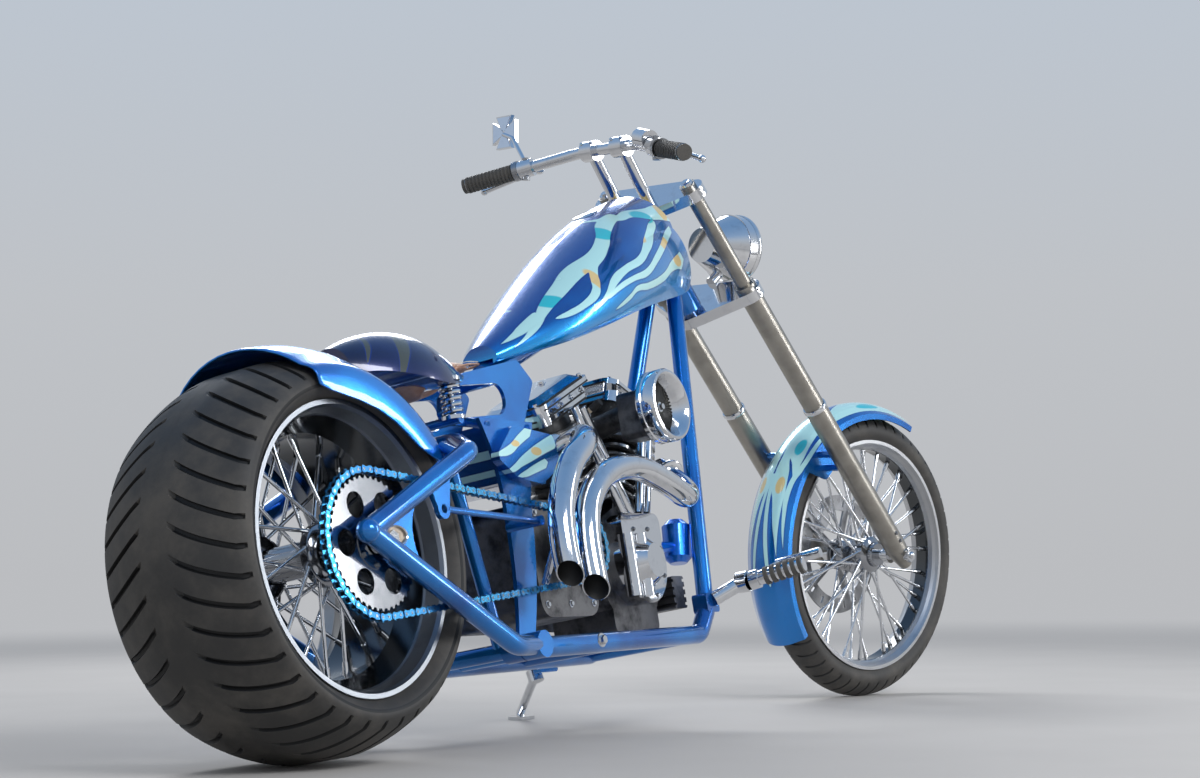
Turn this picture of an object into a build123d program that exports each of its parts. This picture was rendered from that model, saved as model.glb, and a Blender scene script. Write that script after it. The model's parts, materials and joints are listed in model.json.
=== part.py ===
from build123d import *
import os
from math import atan2, cos, hypot, pi, radians, sin, sqrt

# Chopper motorcycle, in millimetres.
# It is modelled upright and straight ahead: +X forward, +Y to the rider's left, +Z up,
# with the ground point under the rear axle as the origin. The last section steers the fork,
# leans the whole machine over on its side stand and moves it to its parked place.

# Stance
WHEELBASE = 2140
REAR_AXLE_Z = 333
FRONT_AXLE_Z = 343.9
STEERING_RAKE = 39.5
FORK_RAKE = 42.3
LEAN = 9.85
STEER = -17.3

# Tyres and rims: outer radius, rim lip radius and half width between the lips
REAR_TYRE_R, REAR_LIP_R, REAR_LIP_HALF = 333, 246, 128
FRONT_TYRE_R, FRONT_LIP_R, FRONT_LIP_HALF = 345, 280, 37
REAR_WELL_R, REAR_WELL_HALF = 205, 60
FRONT_WELL_R, FRONT_WELL_HALF = 258, 16
RIM_WALL = 5
SPOKE_SIZE = 7.0
SPOKES_A_SIDE = 20
AXLE_R = 12.5
RUNNING = 0.06
REAR_DISC_Y, FRONT_DISC_Y = 151.5, 65.5
DISC_R, DISC_T, DISC_GAP = 146, 5, 5

# Drive
CHAIN_PITCH = 15.875
CHAIN_Y = -166
CHAIN_WIDTH = 16
REAR_TEETH = 48
DRIVE_TEETH = 24
DRIVE_X, DRIVE_Z = 655, 330

# Frame
TUBE_R = 17.5
RAIL_R = 19
RAIL_Y = 130
RAIL_Z = 152
RAIL_REAR_X = 430
HEAD_X, HEAD_Z = 1450, 1007
HEAD_TUBE_R = 31
HEAD_TUBE_HALF = 121
STEM_R = 14
SWINGARM_Y = 198
SWINGARM_TUBE_R = 18
VERTEX_X, VERTEX_Z = -50, 347
GUSSET_Y = 75
POST_Y = 116

# Engine
CRANK_X, CRANK_Z = 955, 300
HALF_V = 22.5
CASE_HALF = 72
DECK = 128
HEAD_TOP = 345
ROCKER_RIB = 376
ROCKER_TOP = 402
BARREL_R = 58
FIN_R = 80
FINS = 9
PIPE_R = 25
PIPE_WALL = 3
MOUTH_WALL = 1.8
SLASH = 45
MOUTH_BORE = 34

# Fork
LEG_Y = 125
LEG_R = 25
UPPER_TUBE_R = 18
LEG_TOP = 1118
UPPER_TREE = 1082
LOWER_TREE = 800
TREE_HEIGHT = 26
CLAMP_R = 32
UPPER_OFFSET, LOWER_OFFSET = -58, -71

# Side stand
STAND_PIVOT = (930, 171, 128)
STAND_FOOT = (1084, 322)
STAND_R = 9
STAND_AXIS = Vector(0.0865, 0.2428, 0.966)

# Foot pegs: the root beside its lug, the tip, the bare pin and its collar
PEG_ROOT, PEG_TIP = (1192, 214, 252), (1214, 330, 266)
PEG_R, PEG_LENGTH, PEG_COLLAR_R = 15, 100, 20

REAR_AXLE = Vector(0, 0, REAR_AXLE_Z)
FRONT_AXLE = Vector(WHEELBASE, 0, FRONT_AXLE_Z)
HEAD = Vector(HEAD_X, 0, HEAD_Z)
STEERING_DIR = Vector(-sin(radians(STEERING_RAKE)), 0, cos(radians(STEERING_RAKE)))
FORK_DIR = Vector(-sin(radians(FORK_RAKE)), 0, cos(radians(FORK_RAKE)))

# FORK measures from the front axle: x ahead of the legs, y to the left, z up the legs.
FORK = Plane(origin=FRONT_AXLE, x_dir=(cos(radians(FORK_RAKE)), 0, sin(radians(FORK_RAKE))), z_dir=FORK_DIR)
# HEAD_PLANE measures from the middle of the head tube, with z up the steering axis.
HEAD_PLANE = Plane(
    origin=HEAD, x_dir=(cos(radians(STEERING_RAKE)), 0, sin(radians(STEERING_RAKE))), z_dir=STEERING_DIR
)


def wheel_section(axle, angle=90):
    """A half plane through the axle: x to the left, y the radius, at an angle up from forward."""
    turn = radians(angle)
    return Plane(origin=axle, x_dir=(0, 1, 0), z_dir=(sin(turn), 0, -cos(turn)))


def side_plane(y, origin_x=0, origin_z=0):
    """An upright plane along the bike at y to the left: x forward and y up, facing right."""
    return Plane(origin=(origin_x, y, origin_z), x_dir=(1, 0, 0), z_dir=(0, -1, 0))


def cylinder_plane(lean, distance):
    """A plane across a cylinder's axis, at a distance from the crank: x forward, y left."""
    turn = radians(lean)
    up = Vector(sin(turn), 0, cos(turn))
    return Plane(
        origin=Vector(CRANK_X, 0, CRANK_Z) + up * distance, x_dir=(cos(turn), 0, -sin(turn)), z_dir=up
    )


def fork_point(x, y, z):
    """A point given in the fork's own measures."""
    return FORK.from_local_coords(Vector(x, y, z))


def axle_axis(axle):
    return Axis(axle, (0, 1, 0))


def tube(points, radius, bend):
    """A round bar along straight runs joined by tangent arcs."""
    with BuildPart() as made:
        with BuildLine() as route:
            FilletPolyline(*points, radius=bend)
        with BuildSketch(Plane(route.line @ 0, z_dir=route.line % 0)):
            Circle(radius)
        sweep(path=route.line)
    return made.part


def bar(start, end, radius):
    """A straight round bar between two points."""
    start, end = Vector(*start), Vector(*end)
    with BuildPart() as made:
        with BuildSketch(Plane(start, z_dir=end - start)):
            Circle(radius)
        extrude(amount=(end - start).length)
    return made.part


def on_side(side, points):
    """The same points with y turned to the given side, 1 for left and -1 for right."""
    return [(x, side * y, z) for x, y, z in points]


def cope(*others):
    """Cuts the pieces that this one is fitted against out of it."""
    for other in others:
        add(other.part, mode=Mode.SUBTRACT)


# Tyres: a crown and shoulders of straight bands, sidewalls down to the rim lips, hollow inside
# Columns: half width, drop below the tyre's radius
REAR_TREAD = ((44, 4.08), (92, 17.2), (134, 37.7), (150, 60))
FRONT_TREAD = ((11, 0.29), (31, 12), (43, 28), (47, 42))


def tyre_profile(radius, tread, lip_radius, lip_half):
    bead = lip_radius - 6
    shoulder_half, shoulder_radius = tread[-2][0], radius - tread[-2][1]
    side = [
        *[(half, radius - drop) for half, drop in tread],
        (lip_half, lip_radius + 1),
        (lip_half, bead),
        (lip_half - 12, bead),
        (shoulder_half - 10, shoulder_radius - 14),
    ]
    with BuildSketch() as profile:
        Polygon(*side, *[(-x, r) for x, r in reversed(side)], align=None)
    return profile.sketch


with BuildPart() as rear_tyre:
    with BuildSketch(wheel_section(REAR_AXLE)):
        add(tyre_profile(REAR_TYRE_R, REAR_TREAD, REAR_LIP_R, REAR_LIP_HALF))
    revolve(axis=axle_axis(REAR_AXLE))
rear_tyre.part.label = "rear_tyre"

with BuildPart() as front_tyre:
    with BuildSketch(wheel_section(FRONT_AXLE)):
        add(tyre_profile(FRONT_TYRE_R, FRONT_TREAD, FRONT_LIP_R, FRONT_LIP_HALF))
    revolve(axis=axle_axis(FRONT_AXLE))
front_tyre.part.label = "front_tyre"


# Rims: a drop-centre barrel between two lips, with a step inside each lip
def rim_profile(lip_radius, lip_half, well_radius, well_half, step_half):
    outer_half = lip_half + RIM_WALL
    side = [
        (well_half, well_radius + RIM_WALL),
        (step_half, lip_radius - 10),
        (lip_half - 12, lip_radius - 6),
        (lip_half, lip_radius - 6),
        (lip_half, lip_radius),
        (outer_half, lip_radius),
        (outer_half, lip_radius - 8),
        (lip_half - 2, lip_radius - 12),
        (step_half + 4, lip_radius - 17),
        (well_half, well_radius),
    ]
    with BuildSketch() as profile:
        Polygon(*side, *[(-x, r) for x, r in reversed(side)], align=None)
    return profile.sketch


with BuildPart() as rear_rim:
    with BuildSketch(wheel_section(REAR_AXLE)):
        add(rim_profile(REAR_LIP_R, REAR_LIP_HALF, REAR_WELL_R, REAR_WELL_HALF, 96))
    revolve(axis=axle_axis(REAR_AXLE))
rear_rim.part.label = "rear_rim"

with BuildPart() as front_rim:
    with BuildSketch(wheel_section(FRONT_AXLE)):
        add(rim_profile(FRONT_LIP_R, FRONT_LIP_HALF, FRONT_WELL_R, FRONT_WELL_HALF, 24))
    revolve(axis=axle_axis(FRONT_AXLE))
front_rim.part.label = "front_rim"


# Hubs with laced square spokes: on each side they lean alternately forward and back
def spokes(axle, flange_radius, flange_y, rim_radius, rim_y, lean):
    planes = []
    for side in (-1, 1):
        for index in range(SPOKES_A_SIDE):
            hub_angle = radians(360 / SPOKES_A_SIDE * (index + (side + 1) / 4))
            way = 1 if index % 2 else -1
            rim_angle = hub_angle + radians(lean) * way
            start = axle + Vector(
                flange_radius * cos(hub_angle), side * (flange_y + 4 * way), flange_radius * sin(hub_angle)
            )
            end = axle + Vector(rim_radius * cos(rim_angle), side * rim_y, rim_radius * sin(rim_angle))
            planes.append(Plane(start, z_dir=end - start))
            length = (end - start).length
    with BuildPart() as made:
        with BuildSketch(*planes):
            Rectangle(SPOKE_SIZE, SPOKE_SIZE)
        extrude(amount=length)
    return made.part


def hub_profile(half, barrel, flange_y, flange_radius):
    side = [
        (half, AXLE_R + RUNNING),
        (half, barrel + 8),
        (flange_y + 14, barrel + 8),
        (flange_y + 10, flange_radius + 8),
        (flange_y - 10, flange_radius + 8),
        (flange_y - 16, barrel),
    ]
    with BuildSketch() as profile:
        Polygon(*side, *[(-x, r) for x, r in reversed(side)], align=None)
    return profile.sketch


with BuildPart() as rear_spokes:
    with BuildSketch(wheel_section(REAR_AXLE)):
        add(hub_profile(146, 30, 66, 46))
    revolve(axis=axle_axis(REAR_AXLE))
    add(spokes(REAR_AXLE, 46, 66, REAR_WELL_R + 2, 32, 38))
rear_spokes.part.label = "rear_spokes"

with BuildPart() as front_spokes:
    with BuildSketch(wheel_section(FRONT_AXLE)):
        add(hub_profile(60, 22, 32, 36))
    revolve(axis=axle_axis(FRONT_AXLE))
    add(spokes(FRONT_AXLE, 36, 32, FRONT_WELL_R + 2, 5, 34))
front_spokes.part.label = "front_spokes"


# Brake discs: a hub ring, five arms and a drilled friction ring
def brake_disc(axle, y, hub_radius):
    inner = DISC_R - 38
    with BuildPart() as made:
        with BuildSketch(side_plane(y + DISC_T, axle.X, axle.Z)):
            Circle(DISC_R)
            Circle(inner, mode=Mode.SUBTRACT)
            with PolarLocations((inner + hub_radius) / 2, 5):
                Rectangle(inner - hub_radius + 16, 20)
            Circle(hub_radius + 14)
            Circle(hub_radius, mode=Mode.SUBTRACT)
            with PolarLocations(DISC_R - 19, 18):
                Rectangle(18, 7, mode=Mode.SUBTRACT)
        extrude(amount=DISC_T)
    return made.part


with BuildPart() as rear_disc:
    add(brake_disc(REAR_AXLE, REAR_DISC_Y, 38.5))
    add(bar((0, 146, REAR_AXLE_Z), (0, REAR_DISC_Y, REAR_AXLE_Z), 50))
    add(bar((0, 146, REAR_AXLE_Z), (0, 160, REAR_AXLE_Z), 20), mode=Mode.SUBTRACT)
rear_disc.part.label = "rear_disc"

with BuildPart() as front_disc:
    add(brake_disc(FRONT_AXLE, FRONT_DISC_Y, 24))
    add(bar((WHEELBASE, 60, FRONT_AXLE_Z), (WHEELBASE, FRONT_DISC_Y, FRONT_AXLE_Z), 36))
    add(bar((WHEELBASE, 60, FRONT_AXLE_Z), (WHEELBASE, 75, FRONT_AXLE_Z), 20), mode=Mode.SUBTRACT)
front_disc.part.label = "front_disc"


# Chain line: the pin centres run round both sprockets, one pitch apart
def pitch_radius(teeth):
    return CHAIN_PITCH / (2 * sin(pi / teeth))


REAR_PITCH_R = pitch_radius(REAR_TEETH)
DRIVE_PITCH_R = pitch_radius(DRIVE_TEETH)
CENTRES = hypot(DRIVE_X, DRIVE_Z - REAR_AXLE_Z)
TILT = atan2(DRIVE_Z - REAR_AXLE_Z, DRIVE_X)
TAPER = atan2(REAR_PITCH_R - DRIVE_PITCH_R, CENTRES)
RUN = sqrt(CENTRES**2 - (REAR_PITCH_R - DRIVE_PITCH_R) ** 2)
REAR_WRAP = (pi + 2 * TAPER) * REAR_PITCH_R
DRIVE_WRAP = (pi - 2 * TAPER) * DRIVE_PITCH_R
CHAIN_LENGTH = 2 * RUN + REAR_WRAP + DRIVE_WRAP
LINKS = 2 * round(CHAIN_LENGTH / CHAIN_PITCH / 2)


def chain_point(distance, offset):
    """A point along the chain line at an offset outwards: round the rear, along below, round
    the drive sprocket and back along the top."""
    distance = distance % CHAIN_LENGTH
    if distance < REAR_WRAP:
        angle = TILT + pi / 2 - TAPER + distance / REAR_PITCH_R
        return (REAR_PITCH_R + offset) * cos(angle), REAR_AXLE_Z + (REAR_PITCH_R + offset) * sin(angle)
    distance -= REAR_WRAP
    if distance < RUN:
        angle = TILT - pi / 2 + TAPER
        x = (REAR_PITCH_R + offset) * cos(angle) - distance * sin(angle)
        return x, REAR_AXLE_Z + (REAR_PITCH_R + offset) * sin(angle) + distance * cos(angle)
    distance -= RUN
    if distance < DRIVE_WRAP:
        angle = TILT - pi / 2 + TAPER + distance / DRIVE_PITCH_R
        radius = DRIVE_PITCH_R + offset
        return DRIVE_X + radius * cos(angle), DRIVE_Z + radius * sin(angle)
    distance -= DRIVE_WRAP
    angle = TILT + pi / 2 - TAPER
    x = DRIVE_X + (DRIVE_PITCH_R + offset) * cos(angle) - distance * sin(angle)
    return x, DRIVE_Z + (DRIVE_PITCH_R + offset) * sin(angle) + distance * cos(angle)


def chain_edge(at_pin, between):
    """The edge of the link plates: high at each pin and waisted between two pins."""
    step = CHAIN_LENGTH / LINKS
    points = []
    for link in range(LINKS):
        points.append(chain_point(link * step, at_pin))
        points.append(chain_point((link + 0.5) * step, between))
    return points


with BuildPart() as drive_chain:
    with BuildSketch(side_plane(CHAIN_Y + CHAIN_WIDTH / 2)):
        Polygon(*chain_edge(7.6, 5.0), align=None)
        Polygon(*chain_edge(-7.6, -5.0), align=None, mode=Mode.SUBTRACT)
    extrude(amount=CHAIN_WIDTH)
drive_chain.part.label = "drive_chain"


# Sprockets: teeth with flat tips around a plain plate
def sprocket(teeth, root_radius, tip_radius, centre_x, centre_z, thickness):
    outline = []
    tooth_form = ((-0.3, root_radius), (-0.12, tip_radius), (0.12, tip_radius), (0.3, root_radius))
    for tooth in range(teeth):
        for share, radius in tooth_form:
            angle = (tooth + share) * 2 * pi / teeth
            outline.append((radius * cos(angle), radius * sin(angle)))
    with BuildPart() as made:
        with BuildSketch(side_plane(CHAIN_Y + thickness / 2, centre_x, centre_z)):
            Polygon(*outline, align=None)
        extrude(amount=thickness)
    return made.part


with BuildPart() as rear_sprocket:
    add(sprocket(REAR_TEETH, REAR_PITCH_R - 15, REAR_PITCH_R - 10.5, 0, REAR_AXLE_Z, 7))
    with BuildSketch(side_plane(CHAIN_Y + 10, 0, REAR_AXLE_Z)):
        with PolarLocations(72, 6):
            Circle(22)
        Circle(20)
    extrude(amount=20, mode=Mode.SUBTRACT)
    with BuildSketch(side_plane(-146, 0, REAR_AXLE_Z)):
        Circle(44)
        Circle(20, mode=Mode.SUBTRACT)
    extrude(amount=25)
rear_sprocket.part.label = "rear_sprocket"

with BuildPart() as drive_sprocket:
    add(sprocket(DRIVE_TEETH, DRIVE_PITCH_R - 13, DRIVE_PITCH_R - 8.2, DRIVE_X, DRIVE_Z, 7))
    add(bar((DRIVE_X, -176, DRIVE_Z), (DRIVE_X, -112, DRIVE_Z), 17))
drive_sprocket.part.label = "drive_sprocket"

# Rear axle with its spacers, its ends flush in the adjuster slots
with BuildPart() as rear_axle:
    add(bar((0, -206, REAR_AXLE_Z), (0, 206, REAR_AXLE_Z), AXLE_R))
    for side in (-1, 1):
        add(bar((0, side * 174, REAR_AXLE_Z), (0, side * 193, REAR_AXLE_Z), 19))
rear_axle.part.label = "rear_axle"

# Swingarm: one bent upper tube and two lower tubes that meet behind the axle, a web plate with an
# adjuster slot in each vertex, two inner struts, the fender lugs and a stay rod on the right
CROSS_X, CROSS_Z = 342, 524
PIVOT_X = RAIL_REAR_X - 6
STAY_Y = -186
STAY_EYE, STAY_END = (178, 388), (470, 372)
with BuildPart() as swingarm:
    add(
        tube(
            [
                (VERTEX_X, -SWINGARM_Y, VERTEX_Z),
                (268, -SWINGARM_Y + 2, 490),
                (CROSS_X, -120, CROSS_Z),
                (CROSS_X, 120, CROSS_Z),
                (268, SWINGARM_Y - 2, 490),
                (VERTEX_X, SWINGARM_Y, VERTEX_Z),
            ],
            SWINGARM_TUBE_R,
            34,
        )
    )
    add(bar((PIVOT_X, -168, RAIL_Z), (PIVOT_X, 168, RAIL_Z), 15))
    with Locations((VERTEX_X, -SWINGARM_Y, VERTEX_Z), (VERTEX_X, SWINGARM_Y, VERTEX_Z)):
        Sphere(SWINGARM_TUBE_R + 2)
    for side in (-1, 1):
        lower = [(VERTEX_X, SWINGARM_Y, VERTEX_Z), (330, SWINGARM_Y - 6, 152), (PIVOT_X, 172, RAIL_Z)]
        add(tube(on_side(side, lower), SWINGARM_TUBE_R, 70))
        add(bar((PIVOT_X, side * 151, RAIL_Z), (PIVOT_X, side * 192, RAIL_Z), 24))
        add(bar((CROSS_X, side * 96, CROSS_Z), (PIVOT_X, side * 96, RAIL_Z), 13))
        add(bar((243, side * 196, 480), (243, side * 157, 505), 9))
        add(bar((CROSS_X, side * 60, CROSS_Z), (312, side * 60, 506), 9))
        with BuildSketch(side_plane(side * SWINGARM_Y + 5)):
            with BuildLine():
                Polyline((92, 402), (VERTEX_X, VERTEX_Z), (84, 284))
                ThreePointArc((84, 284), (62, 343), (92, 402))
            make_face()
            with Locations((15, REAR_AXLE_Z + 6)):
                SlotOverall(58, 30, mode=Mode.SUBTRACT)
        extrude(amount=10)
    with BuildSketch(side_plane(STAY_Y + 5)):
        Polygon((146, 428), (210, 452), (194, 388), (162, 388), align=None)
        with Locations(STAY_EYE):
            Circle(17)
            Circle(8, mode=Mode.SUBTRACT)
    extrude(amount=10)
    add(bar((STAY_EYE[0] + 14, STAY_Y, STAY_EYE[1]), (STAY_END[0], STAY_Y, STAY_END[1]), 6))
    add(bar((STAY_END[0], STAY_Y - 8, STAY_END[1]), (STAY_END[0], -POST_Y - 4, STAY_END[1]), 9))
    cope(rear_axle)
swingarm.part.label = "swingarm"

# Steering head and backbone
with BuildPart() as backbone:
    with BuildSketch(HEAD_PLANE.offset(-HEAD_TUBE_HALF)):
        Circle(HEAD_TUBE_R)
    extrude(amount=2 * HEAD_TUBE_HALF)
    add(bar((1425, 0, 1015), (640, 0, 692), 22))
    with BuildSketch(HEAD_PLANE.offset(-HEAD_TUBE_HALF)):
        Circle(STEM_R + RUNNING)
    extrude(amount=2 * HEAD_TUBE_HALF, mode=Mode.SUBTRACT)
backbone.part.label = "backbone"

# Bottom rails, turned up at the front into the downtubes, and the tubes across them
with BuildPart() as bottom_rails:
    for side in (-1, 1):
        route = [(RAIL_REAR_X + 20, RAIL_Y, RAIL_Z), (1092, RAIL_Y, RAIL_Z + 6), (1134, RAIL_Y, 204)]
        add(tube(on_side(side, route), RAIL_R, 30))
        add(bar((PIVOT_X, side * 110, RAIL_Z), (PIVOT_X, side * 149, RAIL_Z), 24))
        add(bar((PIVOT_X, side * RAIL_Y, RAIL_Z), (RAIL_REAR_X + 30, side * RAIL_Y, RAIL_Z), 17))
    with BuildSketch(side_plane(150, STAND_PIVOT[0], RAIL_Z - 6)):
        RectangleRounded(70, 30, 8)
    extrude(amount=14)
    cope(swingarm)
bottom_rails.part.label = "bottom_rails"

with BuildPart() as cross_tubes:
    for x in (600, 820, 1076):
        add(bar((x, -RAIL_Y, RAIL_Z + 3), (x, RAIL_Y, RAIL_Z + 3), 13))
    cope(bottom_rails)
cross_tubes.part.label = "cross_tubes"

# Downtubes with the foot control lugs at their feet
with BuildPart() as downtubes:
    for side in (-1, 1):
        add(bar((1404, side * 34, 925), (1136, side * RAIL_Y, 206), TUBE_R))
        with BuildSketch(side_plane(side * RAIL_Y + 17)):
            with Locations((1140, 220)):
                RectangleRounded(50, 40, 8)
        extrude(amount=34)
    cope(backbone, bottom_rails)
downtubes.part.label = "downtubes"

# Seat gussets: web plates with a long oval hole, either side of the backbone's tail
with BuildPart() as seat_gussets:
    for side in (-1, 1):
        with BuildSketch(side_plane(side * GUSSET_Y + 4)):
            Polygon(
                (368, 584), (376, 616), (446, 652), (458, 668), (648, 708),
                (694, 668), (640, 582), (600, 568), (388, 568),
                align=None,
            )
            fillet(vertices(), 8)
            with Locations((495, 619)):
                SlotOverall(188, 60, rotation=6, mode=Mode.SUBTRACT)
        extrude(amount=8)
    add(bar((384, -112, 572), (384, 112, 572), 9))
    add(bar((655, -GUSSET_Y, 686), (655, GUSSET_Y, 686), 14))
    cope(backbone)
seat_gussets.part.label = "seat_gussets"

# Seat posts: curved plates from the bottom rails up to the gussets
with BuildPart() as seat_posts:
    for side in (-1, 1):
        with BuildSketch(side_plane(side * POST_Y + 4)):
            with BuildLine():
                Line((450, RAIL_Z + 8), (500, RAIL_Z + 8))
                ThreePointArc((500, RAIL_Z + 8), (536, 270), (558, 420))
                Polyline((558, 420), (604, 574), (428, 574))
                ThreePointArc((428, 574), (460, 500), (474, 400))
                ThreePointArc((474, 400), (472, 280), (450, RAIL_Z + 8))
            make_face()
        extrude(amount=8)
        add(bar((452, side * 79, 576), (452, side * 120, 560), 9))
        add(bar((584, side * 79, 576), (584, side * 120, 560), 9))
    cope(bottom_rails, seat_gussets, swingarm)
seat_posts.part.label = "seat_posts"

# Fuel tank: stretched from the steering head down to the seat, over a tunnel for the backbone
TANK_SETBACK = 56
TANK_SECTIONS = (
    # x, bottom z, top z, half width
    (642, 712, 752, 40),
    (740, 734, 822, 92),
    (900, 778, 938, 138),
    (1080, 836, 1056, 148),
    (1240, 880, 1128, 130),
    (1420, 930, 1172, 84),
)


def tank_section(bottom, top, half):
    height = top - bottom
    low = (0.78 * half, bottom)
    side = (half, bottom + 0.30 * height)
    shoulder = (0.86 * half, bottom + 0.60 * height)
    with BuildSketch() as section:
        with BuildLine():
            Line((-low[0], bottom), low)
            ThreePointArc(low, side, shoulder)
            ThreePointArc(shoulder, (0, top), (-shoulder[0], shoulder[1]))
            ThreePointArc((-shoulder[0], shoulder[1]), (-side[0], side[1]), (-low[0], bottom))
        make_face()
    return section.sketch


with BuildPart() as fuel_tank:
    for x, bottom, top, half in TANK_SECTIONS:
        with BuildSketch(Plane(origin=(x, 0, 0), x_dir=(0, 1, 0), z_dir=(1, 0, 0))):
            add(tank_section(bottom, top, half))
    loft()
    with BuildSketch(side_plane(30)):
        Polygon((600, 600), (600, 704), (1460, 1058), (1460, 600), align=None)
    extrude(amount=60, mode=Mode.SUBTRACT)
    with BuildSketch(HEAD_PLANE.offset(-400)):
        with Locations((300 - TANK_SETBACK, 0)):
            Rectangle(600, 600)
    extrude(amount=1000, mode=Mode.SUBTRACT)
    cope(seat_gussets, downtubes)
fuel_tank.part.label = "fuel_tank"


# Fenders: a crowned section with deep side walls, turned part of the way round the wheel
def fender_section(crown, edge, half, wall, skirt):
    outer = [(-half, skirt), (-half, edge - 16), (-half + 26, edge + 4)]
    inner = [(-half + wall, skirt), (-half + wall, edge - 17), (-half + 27, edge - wall + 3)]
    with BuildSketch() as section:
        with BuildLine():
            Polyline(*inner[::-1], *outer)
            ThreePointArc(outer[-1], (0, crown), (-outer[-1][0], outer[-1][1]))
            Polyline(*[(-x, r) for x, r in outer[::-1]], *[(-x, r) for x, r in inner])
            ThreePointArc((-inner[-1][0], inner[-1][1]), (0, crown - wall), inner[-1])
        make_face()
    return section.sketch


REAR_FENDER_FRONT, REAR_FENDER_BACK = 30, 103
with BuildPart() as rear_fender:
    with BuildSketch(wheel_section(REAR_AXLE, REAR_FENDER_BACK)):
        add(fender_section(362, 306, 160, 4, 262))
    revolve(axis=axle_axis(REAR_AXLE), revolution_arc=REAR_FENDER_BACK - REAR_FENDER_FRONT)
    with BuildSketch(side_plane(200)):
        with BuildLine():
            Polyline((-400, 666), (-150, 666))
            ThreePointArc((-150, 666), (-5, 629), (91, 597))
            ThreePointArc((91, 597), (160, 552), (240, 483))
            Polyline((240, 483), (330, 420), (-400, 420), (-400, 666))
        make_face()
    extrude(amount=400, mode=Mode.SUBTRACT)
    cope(swingarm)
rear_fender.part.label = "rear_fender"

FRONT_FENDER_FRONT, FRONT_FENDER_BACK = 66, 214
with BuildPart() as front_fender:
    with BuildSketch(wheel_section(FRONT_AXLE, FRONT_FENDER_BACK)):
        add(fender_section(374, 360, 62, 4, 330))
    revolve(axis=axle_axis(FRONT_AXLE), revolution_arc=FRONT_FENDER_BACK - FRONT_FENDER_FRONT)
    for side in (-1, 1):
        lobe = Plane(origin=FRONT_AXLE + Vector(0, side * 60 + 2, 0), x_dir=FORK.x_dir, z_dir=(0, -1, 0))
        with BuildSketch(lobe):
            Polygon((-66, 332), (62, 340), (26, 268), (-26, 268), align=None)
            fillet(vertices().group_by(Axis.Y)[0], 12)
        extrude(amount=4)
        for height in (326, 284):
            add(bar(fork_point(0, side * 61, height), fork_point(0, side * 103, height), 8))
front_fender.part.label = "front_fender"

# Seat: a domed shell on the rear fender, a leather pad under it with a nose, and springs
SEAT_SECTIONS = (
    # x, bottom z, top z, half width
    (166, 652, 708, 48),
    (240, 650, 737, 100),
    (345, 634, 746, 120),
    (442, 658, 702, 92),
)
with BuildPart() as seat_shell:
    for x, bottom, top, half in SEAT_SECTIONS:
        with BuildSketch(Plane(origin=(x, 0, 0), x_dir=(0, 1, 0), z_dir=(1, 0, 0))):
            with BuildLine():
                Line((-half, bottom), (half, bottom))
                ThreePointArc((half, bottom), (0, top), (-half, bottom))
            make_face()
    loft()
    cope(rear_fender)
seat_shell.part.label = "seat_shell"

# The pad's outline from its rear edge under the shell to the end of the nose
PAD_OUTLINE = (
    (264, 655), (344, 614), (350, 614), (356, 617), (444, 640),
    (470, 662), (596, 698), (596, 712), (452, 706), (440, 664),
)
PAD_WIDTH, NOSE_WIDTH = 196, 128
with BuildPart() as seat_pad:
    with BuildSketch(side_plane(NOSE_WIDTH / 2)):
        Polygon(*PAD_OUTLINE, align=None)
    extrude(amount=NOSE_WIDTH)
    with BuildSketch(side_plane(PAD_WIDTH / 2)):
        Polygon(*PAD_OUTLINE[:3], (350, 655), align=None)
    extrude(amount=PAD_WIDTH)
    cope(seat_gussets, seat_shell)
seat_pad.part.label = "seat_pad"

SPRING_X, SPRING_Y = 384, 96
SPRING_FOOT, SPRING_TOP = 572, 650
COILS = 3
with BuildPart() as seat_springs:
    pitch = (SPRING_TOP - SPRING_FOOT) / COILS
    for side in (-1, 1):
        with BuildSketch(Plane.XZ.offset(-side * SPRING_Y)):
            outline = [(SPRING_X, SPRING_FOOT)]
            for coil in range(COILS):
                low = SPRING_FOOT + coil * pitch
                for reach, share in ((13, 0.0), (21, 0.3), (21, 0.7)):
                    outline.append((SPRING_X + reach, low + share * pitch))
            Polygon(*outline, (SPRING_X + 13, SPRING_TOP), (SPRING_X, SPRING_TOP), align=None)
        revolve(axis=Axis((SPRING_X, side * SPRING_Y, 0), (0, 0, 1)))
    cope(seat_gussets, seat_shell)
seat_springs.part.label = "seat_springs"


# Engine: crankcase, two finned barrels and heads, rocker boxes, pushrod tubes and cam cover
with BuildPart() as crankcase:
    with BuildSketch(side_plane(CASE_HALF)):
        with Locations((CRANK_X, CRANK_Z)):
            Circle(114)
        with Locations((CRANK_X, CRANK_Z - 80)):
            RectangleRounded(170, 90, 18)
        for lean in (-HALF_V, HALF_V):
            turn = radians(lean)
            with Locations((CRANK_X + 70 * sin(turn), CRANK_Z + 70 * cos(turn))):
                Rectangle(150, 2 * (DECK - 70), rotation=-lean)
    extrude(amount=2 * CASE_HALF)
    cope(cross_tubes)
crankcase.part.label = "crankcase"


def finned_cylinder(lean):
    """Barrel and head of one cylinder, with round fins, longer at the head."""
    with BuildPart() as made:
        with BuildSketch(cylinder_plane(lean, DECK + 14)):
            Circle(BARREL_R)
        extrude(amount=HEAD_TOP - DECK - 14)
        for fin in range(FINS):
            reach = FIN_R + (6 if fin > 5 else 0)
            with BuildSketch(cylinder_plane(lean, DECK + 26 + fin * 20)):
                RectangleRounded(2 * reach - 14, 2 * reach, 40)
            extrude(amount=6)
    return made.part


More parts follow.
